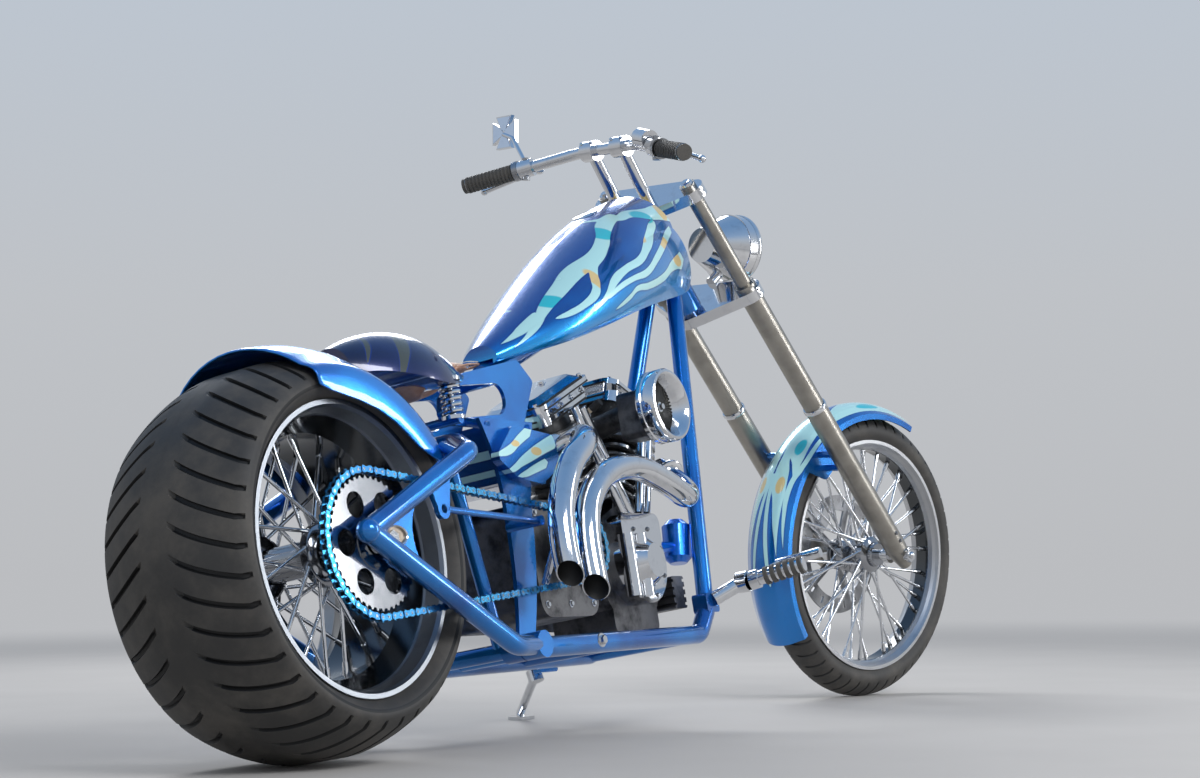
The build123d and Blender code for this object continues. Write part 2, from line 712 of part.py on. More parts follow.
def rocker_box(lean):
    """A rocker cover on the head: a plain base, a wide rib round it and a domed top."""
    with BuildPart() as made:
        with BuildSketch(cylinder_plane(lean, HEAD_TOP)):
            RectangleRounded(196, 144, 24)
        extrude(amount=ROCKER_RIB - HEAD_TOP)
        with BuildSketch(cylinder_plane(lean, ROCKER_RIB)):
            RectangleRounded(228, 160, 30)
        extrude(amount=12)
        with BuildSketch(cylinder_plane(lean, ROCKER_RIB + 12)):
            RectangleRounded(216, 148, 30)
        with BuildSketch(cylinder_plane(lean, ROCKER_TOP)):
            RectangleRounded(186, 110, 30)
        loft()
    return made.part


with BuildPart() as rear_cylinder:
    add(finned_cylinder(-HALF_V))
    cope(crankcase)
    with BuildSketch(side_plane(200)):
        Polygon((CRANK_X, 0), (CRANK_X, 900), (CRANK_X + 600, 900), (CRANK_X + 600, 0), align=None)
    extrude(amount=400, mode=Mode.SUBTRACT)
rear_cylinder.part.label = "rear_cylinder"

with BuildPart() as front_cylinder:
    add(finned_cylinder(HALF_V))
    cope(crankcase)
    with BuildSketch(side_plane(200)):
        Polygon((CRANK_X, 0), (CRANK_X, 900), (CRANK_X - 600, 900), (CRANK_X - 600, 0), align=None)
    extrude(amount=400, mode=Mode.SUBTRACT)
front_cylinder.part.label = "front_cylinder"

with BuildPart() as rocker_boxes:
    add(rocker_box(-HALF_V))
    add(rocker_box(HALF_V))
rocker_boxes.part.label = "rocker_boxes"

with BuildPart() as cam_cover:
    with BuildSketch(side_plane(-CASE_HALF)):
        with Locations((CRANK_X, CRANK_Z + 10)):
            Circle(82)
        with Locations((CRANK_X + 4, CRANK_Z + 74)):
            RectangleRounded(150, 70, 20)
    extrude(amount=40)
    with BuildSketch(side_plane(-CASE_HALF - 40, CRANK_X, CRANK_Z + 10)):
        Circle(54)
    with BuildSketch(side_plane(-CASE_HALF - 66, CRANK_X, CRANK_Z + 10)):
        Circle(34)
    loft()
    for x in (CRANK_X - 66, CRANK_X - 16):
        add(bar((x, -CASE_HALF - 42, CRANK_Z - 58), (x, -CASE_HALF - 42, CRANK_Z + 66), 16))
cam_cover.part.label = "cam_cover"

PUSHROD_Y = -104
with BuildPart() as pushrod_tubes:
    for lean, spread in ((-HALF_V, -10), (-HALF_V, 18), (HALF_V, -18), (HALF_V, 10)):
        turn = radians(lean)
        foot = (CRANK_X + 34 * sin(turn) / abs(sin(turn)) + spread, PUSHROD_Y, CRANK_Z + 109)
        top = Vector(CRANK_X, PUSHROD_Y, CRANK_Z) + Vector(sin(turn), 0, cos(turn)) * (HEAD_TOP + 4)
        add(bar(foot, (top.X + spread, PUSHROD_Y + 14, top.Z), 10))
    cope(cam_cover, rear_cylinder, front_cylinder, rocker_boxes)
pushrod_tubes.part.label = "pushrod_tubes"

# Carburettor on a manifold between the cylinders, and the round air cleaner outside it
CARB_Z = 606
with BuildPart() as carburettor:
    add(bar((CRANK_X, 0, CARB_Z - 20), (CRANK_X, -128, CARB_Z), 24))
    with BuildSketch(side_plane(-128, CRANK_X, CARB_Z - 8)):
        RectangleRounded(84, 96, 14)
    extrude(amount=58)
    cope(rear_cylinder, front_cylinder, rocker_boxes, pushrod_tubes)
carburettor.part.label = "carburettor"

with BuildPart() as air_cleaner:
    with BuildSketch(side_plane(-186, CRANK_X, CARB_Z)):
        Circle(74)
    extrude(amount=44)
    fillet(edges().group_by(Axis.Y)[0], 12)
air_cleaner.part.label = "air_cleaner"


# Exhaust: two fat pipes that sweep back from the ports and end open, cut at a slant that faces back
MOUTH_FACES = Vector(-0.94, -0.34, 0)


def exhaust(points, bend):
    """A pipe with a bore in its last straight run, opened out where the slant cuts it."""
    with BuildPart() as made:
        with BuildLine() as route:
            FilletPolyline(*points, radius=bend)
        end, run = route.line @ 1, route.line % 1
        with BuildSketch(Plane(route.line @ 0, z_dir=route.line % 0)):
            Circle(PIPE_R)
        sweep(path=route.line)
        for wall, depth in ((PIPE_WALL, SLASH + MOUTH_BORE), (MOUTH_WALL, SLASH)):
            with BuildSketch(Plane(end, z_dir=-run)):
                Circle(PIPE_R - wall)
            extrude(amount=depth, mode=Mode.SUBTRACT)
        with BuildSketch(Plane(end - run * (SLASH / 2), z_dir=run + MOUTH_FACES * (SLASH / 2 / PIPE_R))):
            Rectangle(6 * PIPE_R, 6 * PIPE_R)
        extrude(amount=2 * SLASH, mode=Mode.SUBTRACT)
    return made.part


REAR_PIPE = [
    (742, -60, 520), (716, -150, 540), (640, -206, 530), (508, -212, 446), (494, -216, 340), (487, -228, 248)
]
FRONT_PIPE = [
    (1160, -60, 516), (1150, -140, 470), (1030, -200, 420), (735, -210, 496),
    (590, -214, 400), (562, -219, 312), (564, -229, 222),
]
with BuildPart() as rear_exhaust:
    add(exhaust(REAR_PIPE, [34, 50, 100, 80]))
    with BuildSketch(side_plane(-144)):
        Polygon((491, RAIL_Z + 10), (513, RAIL_Z + 10), (536, 276), (512, 276), align=None)
    extrude(amount=6)
    add(bar((523, -147, 266), (500, -206, 354), 7))
    cope(rear_cylinder, bottom_rails)
rear_exhaust.part.label = "rear_exhaust"

with BuildPart() as front_exhaust:
    add(exhaust(FRONT_PIPE, [60, 100, 130, 110, 60]))
    cope(front_cylinder)
front_exhaust.part.label = "front_exhaust"

# Gearbox and primary drive
with BuildPart() as gearbox:
    with BuildSketch(side_plane(104)):
        with Locations((655, 318)):
            RectangleRounded(200, 220, 34)
    extrude(amount=216)
    cope(cross_tubes)
gearbox.part.label = "gearbox"

with BuildPart() as primary_cover:
    with BuildSketch(side_plane(172)):
        with BuildLine():
            Line((CRANK_X, CRANK_Z + 92), (655, DRIVE_Z + 112))
            ThreePointArc((655, DRIVE_Z + 112), (543, DRIVE_Z), (655, DRIVE_Z - 112))
            Line((655, DRIVE_Z - 112), (CRANK_X, CRANK_Z - 92))
            ThreePointArc((CRANK_X, CRANK_Z - 92), (CRANK_X + 92, CRANK_Z), (CRANK_X, CRANK_Z + 92))
        make_face()
    extrude(amount=50)
    fillet(edges().group_by(Axis.Y)[-1], 12)
    add(bar((CRANK_X, 122, CRANK_Z), (CRANK_X, CASE_HALF, CRANK_Z), 70))
    add(bar((DRIVE_X, 122, DRIVE_Z), (DRIVE_X, 104, DRIVE_Z), 54))
    cope(crankcase, gearbox)
primary_cover.part.label = "primary_cover"

# Oil tank under the seat, with flared side covers
with BuildPart() as oil_tank:
    with BuildSketch(side_plane(110)):
        Polygon((470, 566), (606, 566), (640, 540), (636, 460), (500, 460), align=None)
    extrude(amount=220)
    for side in (-1, 1):
        with BuildSketch(side_plane(side * (POST_Y + 4))):
            Polygon((440, 500), (507, 560), (640, 548), (654, 490), (580, 452), (500, 462), align=None)
            fillet(vertices(), 14)
        extrude(amount=-18 * side)
    cope(seat_posts, gearbox)
oil_tank.part.label = "oil_tank"

# Oil filter pod and finned regulator ahead of the engine
with BuildPart() as filter_pod:
    with BuildSketch(Plane(origin=(1184, -58, 316), z_dir=(0.16, 0, 1))):
        Circle(30)
    extrude(amount=92)
    chamfer(edges(), 12)
    add(bar((1050, -58, 350), (1186, -58, 350), 12))
    cope(crankcase, downtubes)
filter_pod.part.label = "filter_pod"

with BuildPart() as regulator:
    with BuildSketch(side_plane(-20, 1092, 250)):
        RectangleRounded(50, 66, 6)
        for slot in range(4):
            with Locations((0, -24 + 16 * slot)):
                Rectangle(60, 6, mode=Mode.SUBTRACT)
        Rectangle(36, 66)
    extrude(amount=80)
    cope(crankcase, downtubes, bottom_rails, cross_tubes)
regulator.part.label = "regulator"

# Rear brake caliper, carried by the swingarm
with BuildPart() as rear_caliper:
    with BuildSketch(side_plane(178, 84, 232)):
        RectangleRounded(92, 62, 18, rotation=40)
    extrude(amount=44)
    with BuildSketch(side_plane(REAR_DISC_Y + DISC_T + DISC_GAP, 0, REAR_AXLE_Z)):
        Circle(DISC_R + DISC_GAP)
    extrude(amount=DISC_T + 2 * DISC_GAP, mode=Mode.SUBTRACT)
    cope(swingarm)
rear_caliper.part.label = "rear_caliper"

# Foot controls: a lug, a peg and a pedal arm with a toe rubber on each side
with BuildPart() as foot_controls:
    for side in (-1, 1):
        add(bar((1146, side * 147, 226), (1186, side * 196, 252), 15))
        add(bar((1186, side * 190, 252), (1186, side * 214, 252), 22))
        root, tip = Vector(*on_side(side, [PEG_ROOT])[0]), Vector(*on_side(side, [PEG_TIP])[0])
        bare = tip - (tip - root).normalized() * PEG_LENGTH
        add(bar(root, bare, PEG_COLLAR_R))
        add(bar(bare, tip, PEG_R))
        add(bar((1186, side * 203, 252), (1352, side * 208, 288), 8))
        add(bar((1352, side * 200, 288), (1362, side * 300, 296), 11))
    cope(downtubes)
foot_controls.part.label = "foot_controls"


# Triple trees: two plates that clamp the fork tubes, and the steering stem between them
def tree_plate(height, offset, leg_hole):
    with BuildPart() as made:
        with BuildSketch(FORK.offset(height)):
            for y in (-LEG_Y, LEG_Y):
                with Locations((0, y)):
                    Circle(CLAMP_R)
            with Locations((offset, 0)):
                Circle(36)
            make_hull()
            for y in (-LEG_Y, LEG_Y):
                with Locations((0, y)):
                    Circle(leg_hole, mode=Mode.SUBTRACT)
        extrude(amount=TREE_HEIGHT)
    return made.part


with BuildPart() as triple_trees:
    add(tree_plate(UPPER_TREE, UPPER_OFFSET, UPPER_TUBE_R))
    add(tree_plate(LOWER_TREE, LOWER_OFFSET, LEG_R))
    with BuildSketch(HEAD_PLANE.offset(-HEAD_TUBE_HALF - 20)):
        Circle(STEM_R)
    extrude(amount=2 * HEAD_TUBE_HALF + 40)
triple_trees.part.label = "triple_trees"

with BuildPart() as front_axle:
    add(bar((WHEELBASE, -156, FRONT_AXLE_Z), (WHEELBASE, 156, FRONT_AXLE_Z), AXLE_R))
    for side in (-1, 1):
        add(bar((WHEELBASE, side * 84, FRONT_AXLE_Z), (WHEELBASE, side * 98, FRONT_AXLE_Z), 20))
front_axle.part.label = "front_axle"

SEAM = 470
with BuildPart() as fork_legs:
    for y in (-LEG_Y, LEG_Y):
        add(bar(fork_point(0, y, LOWER_TREE), fork_point(0, y, LEG_TOP), UPPER_TUBE_R))
        add(bar(fork_point(0, y, SEAM), fork_point(0, y, LOWER_TREE + TREE_HEIGHT + 12), LEG_R))
        add(bar(fork_point(0, y, 20), fork_point(0, y, SEAM), LEG_R + 1.5))
        with BuildSketch(FORK.offset(20)):
            with Locations((0, y)):
                Circle(LEG_R + 1.5)
        with BuildSketch(FORK.offset(-34)):
            with Locations((2, y)):
                Circle(15)
        loft()
    cope(front_axle, front_fender)
fork_legs.part.label = "fork_legs"

with BuildPart() as front_caliper:
    with BuildSketch(side_plane(98, WHEELBASE - 96, FRONT_AXLE_Z + 106)):
        RectangleRounded(60, 110, 18, rotation=FORK_RAKE)
    extrude(amount=44)
    with BuildSketch(side_plane(FRONT_DISC_Y + DISC_T + DISC_GAP, WHEELBASE, FRONT_AXLE_Z)):
        Circle(DISC_R + DISC_GAP)
    extrude(amount=DISC_T + 2 * DISC_GAP, mode=Mode.SUBTRACT)
    add(bar(fork_point(-8, 92, 140), fork_point(-4, 112, 140), 14))
    cope(fork_legs)
front_caliper.part.label = "front_caliper"

# Risers, drag handlebar, grips and hand controls
BAR_MIDDLE = (1263, 86, 1250)
BAR_END = (1150, 335, 1192)
BAR_R = 12.7
RISER_FOOT = FORK.from_local_coords(Vector(UPPER_OFFSET + 6, 46, UPPER_TREE + TREE_HEIGHT))
with BuildPart() as handlebar:
    add(tube([(x, -y, z) for x, y, z in (BAR_END, BAR_MIDDLE)] + [BAR_MIDDLE, BAR_END], BAR_R, 110))
handlebar.part.label = "handlebar"

with BuildPart() as risers:
    for side in (-1, 1):
        add(bar((RISER_FOOT.X, side * 46, RISER_FOOT.Z), (1265, side * 46, 1248), 14))
        add(bar((1263, side * 28, 1250), (1263, side * 64, 1250), 23))
    cope(handlebar, triple_trees)
risers.part.label = "risers"

BAR_RUN = (Vector(*BAR_END) - Vector(*BAR_MIDDLE)).normalized()
with BuildPart() as grips:
    for side in (-1, 1):
        run = Vector(BAR_RUN.X, side * BAR_RUN.Y, BAR_RUN.Z)
        end = Vector(BAR_END[0], side * BAR_END[1], BAR_END[2])
        add(bar(end - run * 125, end + run * 4, 17))
    cope(handlebar)
grips.part.label = "grips"

with BuildPart() as hand_controls:
    for side in (-1, 1):
        run = Vector(BAR_RUN.X, side * BAR_RUN.Y, BAR_RUN.Z)
        end = Vector(BAR_END[0], side * BAR_END[1], BAR_END[2])
        perch = end - run * 150
        add(bar(end - run * 168, end - run * 132, 20))
        add(bar(perch, perch + Vector(44, 0, 4), 12))
        add(bar(perch + Vector(44, 0, 4), end + Vector(56, 0, -8), 6))
    add(bar(Vector(1212, -150, 1252), Vector(1196, -196, 1240), 20))
    cope(handlebar, grips)
hand_controls.part.label = "hand_controls"

# Mirror: a cross with flared arms on a bent stem
MIRROR = (1272, 330, 1327)
with BuildPart() as mirror:
    with BuildSketch(Plane(origin=MIRROR, x_dir=(0, -1, 0), z_dir=(-1, 0, 0))):
        with PolarLocations(0, 4):
            Polygon((0, -6), (0, 6), (38, 26), (38, -26), align=None)
        Circle(12)
    extrude(amount=10)
    add(tube([(1262, 330, 1322), (1262, 300, 1310), (1226, 214, 1232)], 5, 16))
    cope(hand_controls)
mirror.part.label = "mirror"

# Headlamp: a round chrome bucket ahead of the lower tree
LAMP = (1656, 0, 1062)
with BuildPart() as headlamp:
    with BuildSketch(Plane(origin=LAMP, x_dir=(0, 1, 0), z_dir=(1, 0, 0))):
        Circle(78)
    extrude(amount=34)
    with BuildSketch(Plane(origin=LAMP, x_dir=(0, 1, 0), z_dir=(1, 0, 0))):
        Circle(76)
    with BuildSketch(Plane(origin=(LAMP[0] - 84, 0, LAMP[2]), x_dir=(0, 1, 0), z_dir=(1, 0, 0))):
        Circle(40)
    loft()
    add(bar((1630, 0, 1000), fork_point(30, 0, LOWER_TREE + 30), 12))
    cope(triple_trees)
headlamp.part.label = "headlamp"

# Side stand: a leg from its lug on the left rail down to a flat foot
ROLL = radians(LEAN)
FOOT_Z = 52.35
with BuildPart() as side_stand:
    foot = (STAND_FOOT[0], STAND_FOOT[1], FOOT_Z + 14)
    pivot = Vector(*STAND_PIVOT)
    add(bar(pivot - STAND_AXIS * 12, pivot + STAND_AXIS * 12, 16))
    add(bar(STAND_PIVOT, foot, STAND_R))
    sole = Plane(origin=(foot[0], foot[1], FOOT_Z), x_dir=(1, 0, 0), z_dir=(0, -sin(ROLL), cos(ROLL)))
    with BuildSketch(sole):
        RectangleRounded(64, 36, 12)
    extrude(amount=7)
    add(bar(foot, (foot[0], foot[1], FOOT_Z + 2), STAND_R))
side_stand.part.label = "side_stand"

# Parked: the front end steered, everything leant over on the stand and moved to the row's place
FRAME_PIECES = (
    rear_axle, swingarm, backbone, bottom_rails, cross_tubes, downtubes, seat_gussets, seat_posts,
    fuel_tank, rear_fender, seat_shell, seat_pad, seat_springs, oil_tank, crankcase, rear_cylinder,
    front_cylinder, rocker_boxes, cam_cover, pushrod_tubes, carburettor, air_cleaner,
    rear_exhaust, front_exhaust, gearbox, primary_cover, filter_pod, regulator, drive_sprocket, drive_chain,
    rear_caliper, foot_controls, side_stand, rear_tyre, rear_rim, rear_spokes, rear_sprocket, rear_disc,
)
STEERED_PIECES = (
    triple_trees, fork_legs, front_axle, front_caliper, front_fender, risers, handlebar, grips,
    hand_controls, mirror, headlamp, front_tyre, front_rim, front_spokes, front_disc,
)

os.makedirs("parts", exist_ok=True)
PARKED = Location((-1070.5, -143.7, 3.5)) * Location((0, 0, 0), (-LEAN, 0, 0))
for piece in FRAME_PIECES:
    parked = piece.part.moved(PARKED)
    parked.label = piece.part.label
    export_step(parked, f"parts/{piece.part.label}.step")
for piece in STEERED_PIECES:
    steered = piece.part.rotate(Axis(HEAD, STEERING_DIR), STEER)
    parked = steered.moved(PARKED)
    parked.label = piece.part.label
    export_step(parked, f"parts/{piece.part.label}.step")
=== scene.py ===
"""The looks of a long raked chopper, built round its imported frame.

Every size in the sub-assembly classes is in millimetres in the upright bike's own measures: x forward
from the rear axle's ground point, y to the rider's left, z up. A Stance turns them into the parked row.
"""
from __future__ import annotations

import json
import logging
import math
from dataclasses import dataclass
from enum import Enum
from typing import Iterable, Sequence

import bmesh
import bpy
from mathutils import Matrix, Vector

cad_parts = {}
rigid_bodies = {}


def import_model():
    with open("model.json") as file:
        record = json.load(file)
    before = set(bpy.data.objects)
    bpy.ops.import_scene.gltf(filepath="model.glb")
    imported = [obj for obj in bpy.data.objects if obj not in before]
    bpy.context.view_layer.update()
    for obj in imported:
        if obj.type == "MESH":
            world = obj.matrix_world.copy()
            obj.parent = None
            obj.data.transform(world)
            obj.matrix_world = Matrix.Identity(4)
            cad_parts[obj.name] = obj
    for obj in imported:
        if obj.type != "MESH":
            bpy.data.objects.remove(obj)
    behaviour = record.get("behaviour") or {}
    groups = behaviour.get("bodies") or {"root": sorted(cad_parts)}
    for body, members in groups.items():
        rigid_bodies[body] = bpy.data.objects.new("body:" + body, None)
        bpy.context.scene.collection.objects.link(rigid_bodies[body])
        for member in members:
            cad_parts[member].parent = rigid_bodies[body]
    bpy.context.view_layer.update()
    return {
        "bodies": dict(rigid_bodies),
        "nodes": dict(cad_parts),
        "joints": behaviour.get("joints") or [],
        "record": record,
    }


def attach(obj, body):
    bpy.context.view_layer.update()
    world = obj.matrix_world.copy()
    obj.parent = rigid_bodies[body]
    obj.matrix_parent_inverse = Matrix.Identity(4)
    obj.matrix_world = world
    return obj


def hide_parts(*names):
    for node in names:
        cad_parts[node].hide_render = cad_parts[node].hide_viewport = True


LOG = logging.getLogger("chopper")
MM = 0.001
TO_MM = 1000.0
LEAN = math.radians(9.85)
STEER = math.radians(-17.3)
RAKE = math.radians(39.5)
FORK_RAKE = math.radians(42.3)
HEAD = Vector((1450, 0, 1007)) * MM
PARKING = Vector((-1070.5, -143.7, 3.5)) * MM
REAR_AXLE = (0.0, 0.0, 333.0)
FRONT_AXLE = (2140.0, 0.0, 343.9)
CRANK = (955.0, 300.0)  # x and z of the crankshaft
SPROCKET = (655.0, 330.0)  # x and z of the drive sprocket
HALF_V = 22.5  # a cylinder's lean in degrees
Colour = tuple[float, float, float]
Point = Sequence[float]


class Stance(Enum):
    """How a piece stands in the row: with the leaning frame, or also turned with the fork."""

    FRAME = "frame"
    FORK = "fork"

    def matrix(self) -> Matrix:
        """The matrix from the upright bike, in metres, to the parked row."""
        parked = Matrix.Translation(PARKING) @ Matrix.Rotation(-LEAN, 4, "X")
        if self is Stance.FRAME:
            return parked
        steering = Vector((-math.sin(RAKE), 0, math.cos(RAKE)))
        turn = Matrix.Rotation(STEER, 4, steering)
        return parked @ Matrix.Translation(HEAD) @ turn @ Matrix.Translation(-HEAD)


class Body(Enum):
    """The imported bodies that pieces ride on, each with its stance."""

    FRAME = "frame"
    FORK = "fork"
    FRONT_WHEEL = "front_wheel"
    REAR_WHEEL = "rear_wheel"

    @property
    def stance(self) -> Stance:
        """The stance in which the body's pieces are modelled."""
        return Stance.FORK if self in (Body.FORK, Body.FRONT_WHEEL) else Stance.FRAME


# Shader maths


class Wire:
    """A value or colour on its way through a node tree, with Python's own arithmetic."""

    def __init__(self, nodes: Nodes, socket: bpy.types.NodeSocket) -> None:
        """Wraps an output socket of one tree."""
        self.nodes = nodes
        self.socket = socket

    def maths(self, operation: str, *others: object) -> Wire:
        """One Math node on this value and the others."""
        return self.nodes.node("ShaderNodeMath", {"operation": operation}, [self, *others])

    def __add__(self, other: object) -> Wire:
        """The sum."""
        return self.maths("ADD", other)

    def __radd__(self, other: object) -> Wire:
        """The sum with a number on the left."""
        return self.maths("ADD", other)

    def __sub__(self, other: object) -> Wire:
        """The difference."""
        return self.maths("SUBTRACT", other)

    def __rsub__(self, other: object) -> Wire:
        """A number less this value."""
        return self.nodes.node("ShaderNodeMath", {"operation": "SUBTRACT"}, [other, self])

    def __mul__(self, other: object) -> Wire:
        """The product."""
        return self.maths("MULTIPLY", other)

    def __rmul__(self, other: object) -> Wire:
        """The product with a number on the left."""
        return self.maths("MULTIPLY", other)

    def __truediv__(self, other: object) -> Wire:
        """The quotient."""
        return self.maths("DIVIDE", other)

    def __rtruediv__(self, other: object) -> Wire:
        """A number divided by this value."""
        return self.nodes.node("ShaderNodeMath", {"operation": "DIVIDE"}, [other, self])

    def absolute(self) -> Wire:
        """The size of the value."""
        return self.maths("ABSOLUTE")

    def sine(self) -> Wire:
        """The sine of the value in radians."""
        return self.maths("SINE")

    def power(self, exponent: float) -> Wire:
        """The value raised to a power."""
        return self.maths("POWER", exponent)

    def most(self, other: object) -> Wire:
        """The larger of two values."""
        return self.maths("MAXIMUM", other)

    def soft_most(self, other: object, round_off: float) -> Wire:
        """The larger of two values, with the corner between them rounded."""
        return self.maths("SMOOTH_MAX", other, round_off)

    def step(self, low: float, high: float) -> Wire:
        """A smooth step from 0 at low to 1 at high."""
        settings = {"interpolation_type": "SMOOTHSTEP"}
        values = {"Value": self, "From Min": low, "From Max": high}
        return self.nodes.node("ShaderNodeMapRange", settings, values)


class Nodes:
    """The nodes of one tree under construction."""

    def __init__(self, tree: bpy.types.NodeTree) -> None:
        """Starts with an empty tree."""
        self.tree = tree
        self.tree.nodes.clear()

    def join(self, out: bpy.types.NodeSocket, into: bpy.types.NodeSocket) -> None:
        """Links two sockets."""
        self.tree.links.new(out, into)

    def feed(self, socket: object, value: object) -> None:
        """Links a wire to a socket, or writes a plain value there."""
        if isinstance(value, Wire):
            self.join(value.socket, socket)
        elif isinstance(value, tuple) and socket.type == "RGBA" and len(value) == 3:
            socket.default_value = (*value, 1.0)
        else:
            socket.default_value = value

    def node(self, kind: str, settings: dict, values: object, out: object = 0) -> Wire:
        """Adds a node, sets its settings first and then its sockets.

        Args:
            kind: the node's type.
            settings: attributes of the node, such as a Math node's operation. "stops" fills a ramp and
                "course" a curve.
            values: socket values or wires, by name or in order.
            out: the output to read, by name or place.

        Returns:
            The chosen output as a wire.
        """
        made = self.tree.nodes.new(kind)
        for key, value in settings.items():
            if key == "stops":
                self.fill_ramp(made.color_ramp, value)
            elif key == "course":
                self.fill_curve(made.mapping, value)
            else:
                setattr(made, key, value)
        pairs = values.items() if isinstance(values, dict) else enumerate(values)
        for key, value in pairs:
            self.feed(made.inputs[key], value)
        return Wire(self, made.outputs[out])

    @staticmethod
    def fill_ramp(ramp: object, stops: Sequence[tuple[float, Colour]]) -> None:
        """Writes a colour ramp's stops."""
        while len(ramp.elements) < len(stops):
            ramp.elements.new(1.0)
        for element, (place, colour) in zip(ramp.elements, stops):
            element.position = place
            element.color = (*colour, 1.0)

    @staticmethod
    def fill_curve(mapping: bpy.types.CurveMapping, points: Sequence[tuple[float, float]]) -> None:
        """Writes a float curve's points, which go from 0 to 1 both ways."""
        course = mapping.curves[0]
        while len(course.points) < len(points):
            course.points.new(0.5, 0.5)
        for point, (place, height) in zip(course.points, points):
            point.location = (place, height)
        mapping.update()

    def blend(self, factor: object, under: object, over: object) -> Wire:
        """Mixes two colours."""
        values = {0: factor, 6: under, 7: over}
        return self.node("ShaderNodeMix", {"data_type": "RGBA"}, values, 2)

    def place(self, stance: Stance | None = None) -> Wire:
        """Object coordinates in metres, in the row or turned back to the upright bike."""
        here = self.node("ShaderNodeTexCoord", {}, {}, "Object")
        if stance is None:
            return here
        back = stance.matrix().inverted()
        values = {"Vector": here, "Location": back.to_translation(), "Rotation": back.to_euler()}
        return self.node("ShaderNodeMapping", {"vector_type": "POINT"}, values)

    def parts(self, vector: Wire) -> tuple[Wire, Wire, Wire]:
        """The x, y and z of a vector."""
        split = self.tree.nodes.new("ShaderNodeSeparateXYZ")
        self.feed(split.inputs[0], vector)
        return tuple(Wire(self, socket) for socket in split.outputs)

    def noise(self, where: Wire, scale: float, detail: float = 3.0, roughness: float = 0.5) -> Wire:
        """Soft noise between 0 and 1."""
        values = {"Vector": where, "Scale": scale, "Detail": detail, "Roughness": roughness}
        return self.node("ShaderNodeTexNoise", {}, values, 0)

    def bump(self, height: Wire, distance: float, strength: float = 1.0) -> Wire:
        """A bumped normal from a height."""
        values = {"Height": height, "Distance": distance, "Strength": strength}
        return self.node("ShaderNodeBump", {}, values)


class Shade(Nodes):
    """One material under construction, with a principled shader."""

    def __init__(self, name: str) -> None:
        """Starts a material of that name."""
        self.material = bpy.data.materials.new(name)
        self.material.use_nodes = True
        super().__init__(self.material.node_tree)
        self.output = self.tree.nodes.new("ShaderNodeOutputMaterial")
        self.surface = self.tree.nodes.new("ShaderNodeBsdfPrincipled")
        self.join(self.surface.outputs[0], self.output.inputs["Surface"])

    def set(self, **sockets: object) -> None:
        """Feeds the principled shader's sockets, named with underscores for spaces."""
        for name, value in sockets.items():
            self.feed(self.surface.inputs[name.replace("_", " ")], value)


# Finishes


@dataclass(frozen=True)
class Chrome:
    """Polished plating with a little road film, and painted shade inside a wheel's well where one is given.

    Attributes:
        name: the material's name.
        tint: its colour.
        shine: its least roughness.
        well: the wheel whose rim this is, with painted shade between its lips.
        lip: how far a bright lip stands from the wheel's middle, in millimetres.
        lip_width: the width over which it turns bright.
        dark: the colour of the painted shade between the lips.
        dulled: the share of the colour that is left under the film.
        film_roughness: the roughness that the film adds.
        lip_roughness: the roughness that a lip adds.
    """

    name: str = "chrome"
    tint: Colour = (0.7, 0.71, 0.73)
    shine: float = 0.04
    well: Body | None = None
    lip: float = 0.0
    lip_width: float = 4.0
    dark: Colour = (0.09, 0.095, 0.1)
    dulled: float = 0.8
    film_roughness: float = 0.08
    lip_roughness: float = 0.24

    def build(self) -> bpy.types.Material:
        """The finished material."""
        shade = Shade(self.name)
        here = shade.place()
        film = shade.noise(here, scale=34, detail=5, roughness=0.6)
        dull = tuple(self.dulled * part for part in self.tint)
        base = shade.blend(film.step(0.5, 0.85), self.tint, dull)
        if self.well:
            _, y, _ = shade.parts(shade.place(self.well.stance))
            out = (y.absolute() * TO_MM).step(self.lip - self.lip_width, self.lip)
            # Painted shade: the rim's well between the lips takes the dark colour.
            base = shade.blend(out, self.dark, base)
            rough = out * self.lip_roughness + self.shine
        else:
            rough = film * self.film_roughness + self.shine
        ripple = shade.noise(here, scale=60, detail=2)
        shade.set(
            Base_Color=base,
            Metallic=1.0,
            Roughness=rough,
            Normal=shade.bump(ripple, distance=0.0002, strength=0.15),
        )
        return shade.material


@dataclass(frozen=True)
class BrushedMetal:
    """Machined or brushed metal, with fine lines along one axis of the row."""

    name: str
    tint: Colour
    grain: Point = (900.0, 900.0, 30.0)
    roughness: float = 0.3
    spread: float = 0.18
    relief: float = 0.35
    dulled: float = 0.72

    def build(self) -> bpy.types.Material:
        """The finished material."""
        shade = Shade(self.name)
        here = shade.place()
        stretch = shade.node("ShaderNodeMapping", {}, {"Vector": here, "Scale": self.grain})
        lines = shade.noise(stretch, scale=1.0, detail=2)
        cloud = shade.noise(here, scale=22, detail=4)
        dull = tuple(self.dulled * part for part in self.tint)
        shade.set(
            Base_Color=shade.blend(cloud.step(0.3, 0.8), self.tint, dull),
            Metallic=1.0,
            Roughness=lines * self.spread + self.roughness - self.spread / 2,
            Normal=shade.bump(lines, distance=0.0002, strength=self.relief),
        )
        return shade.material


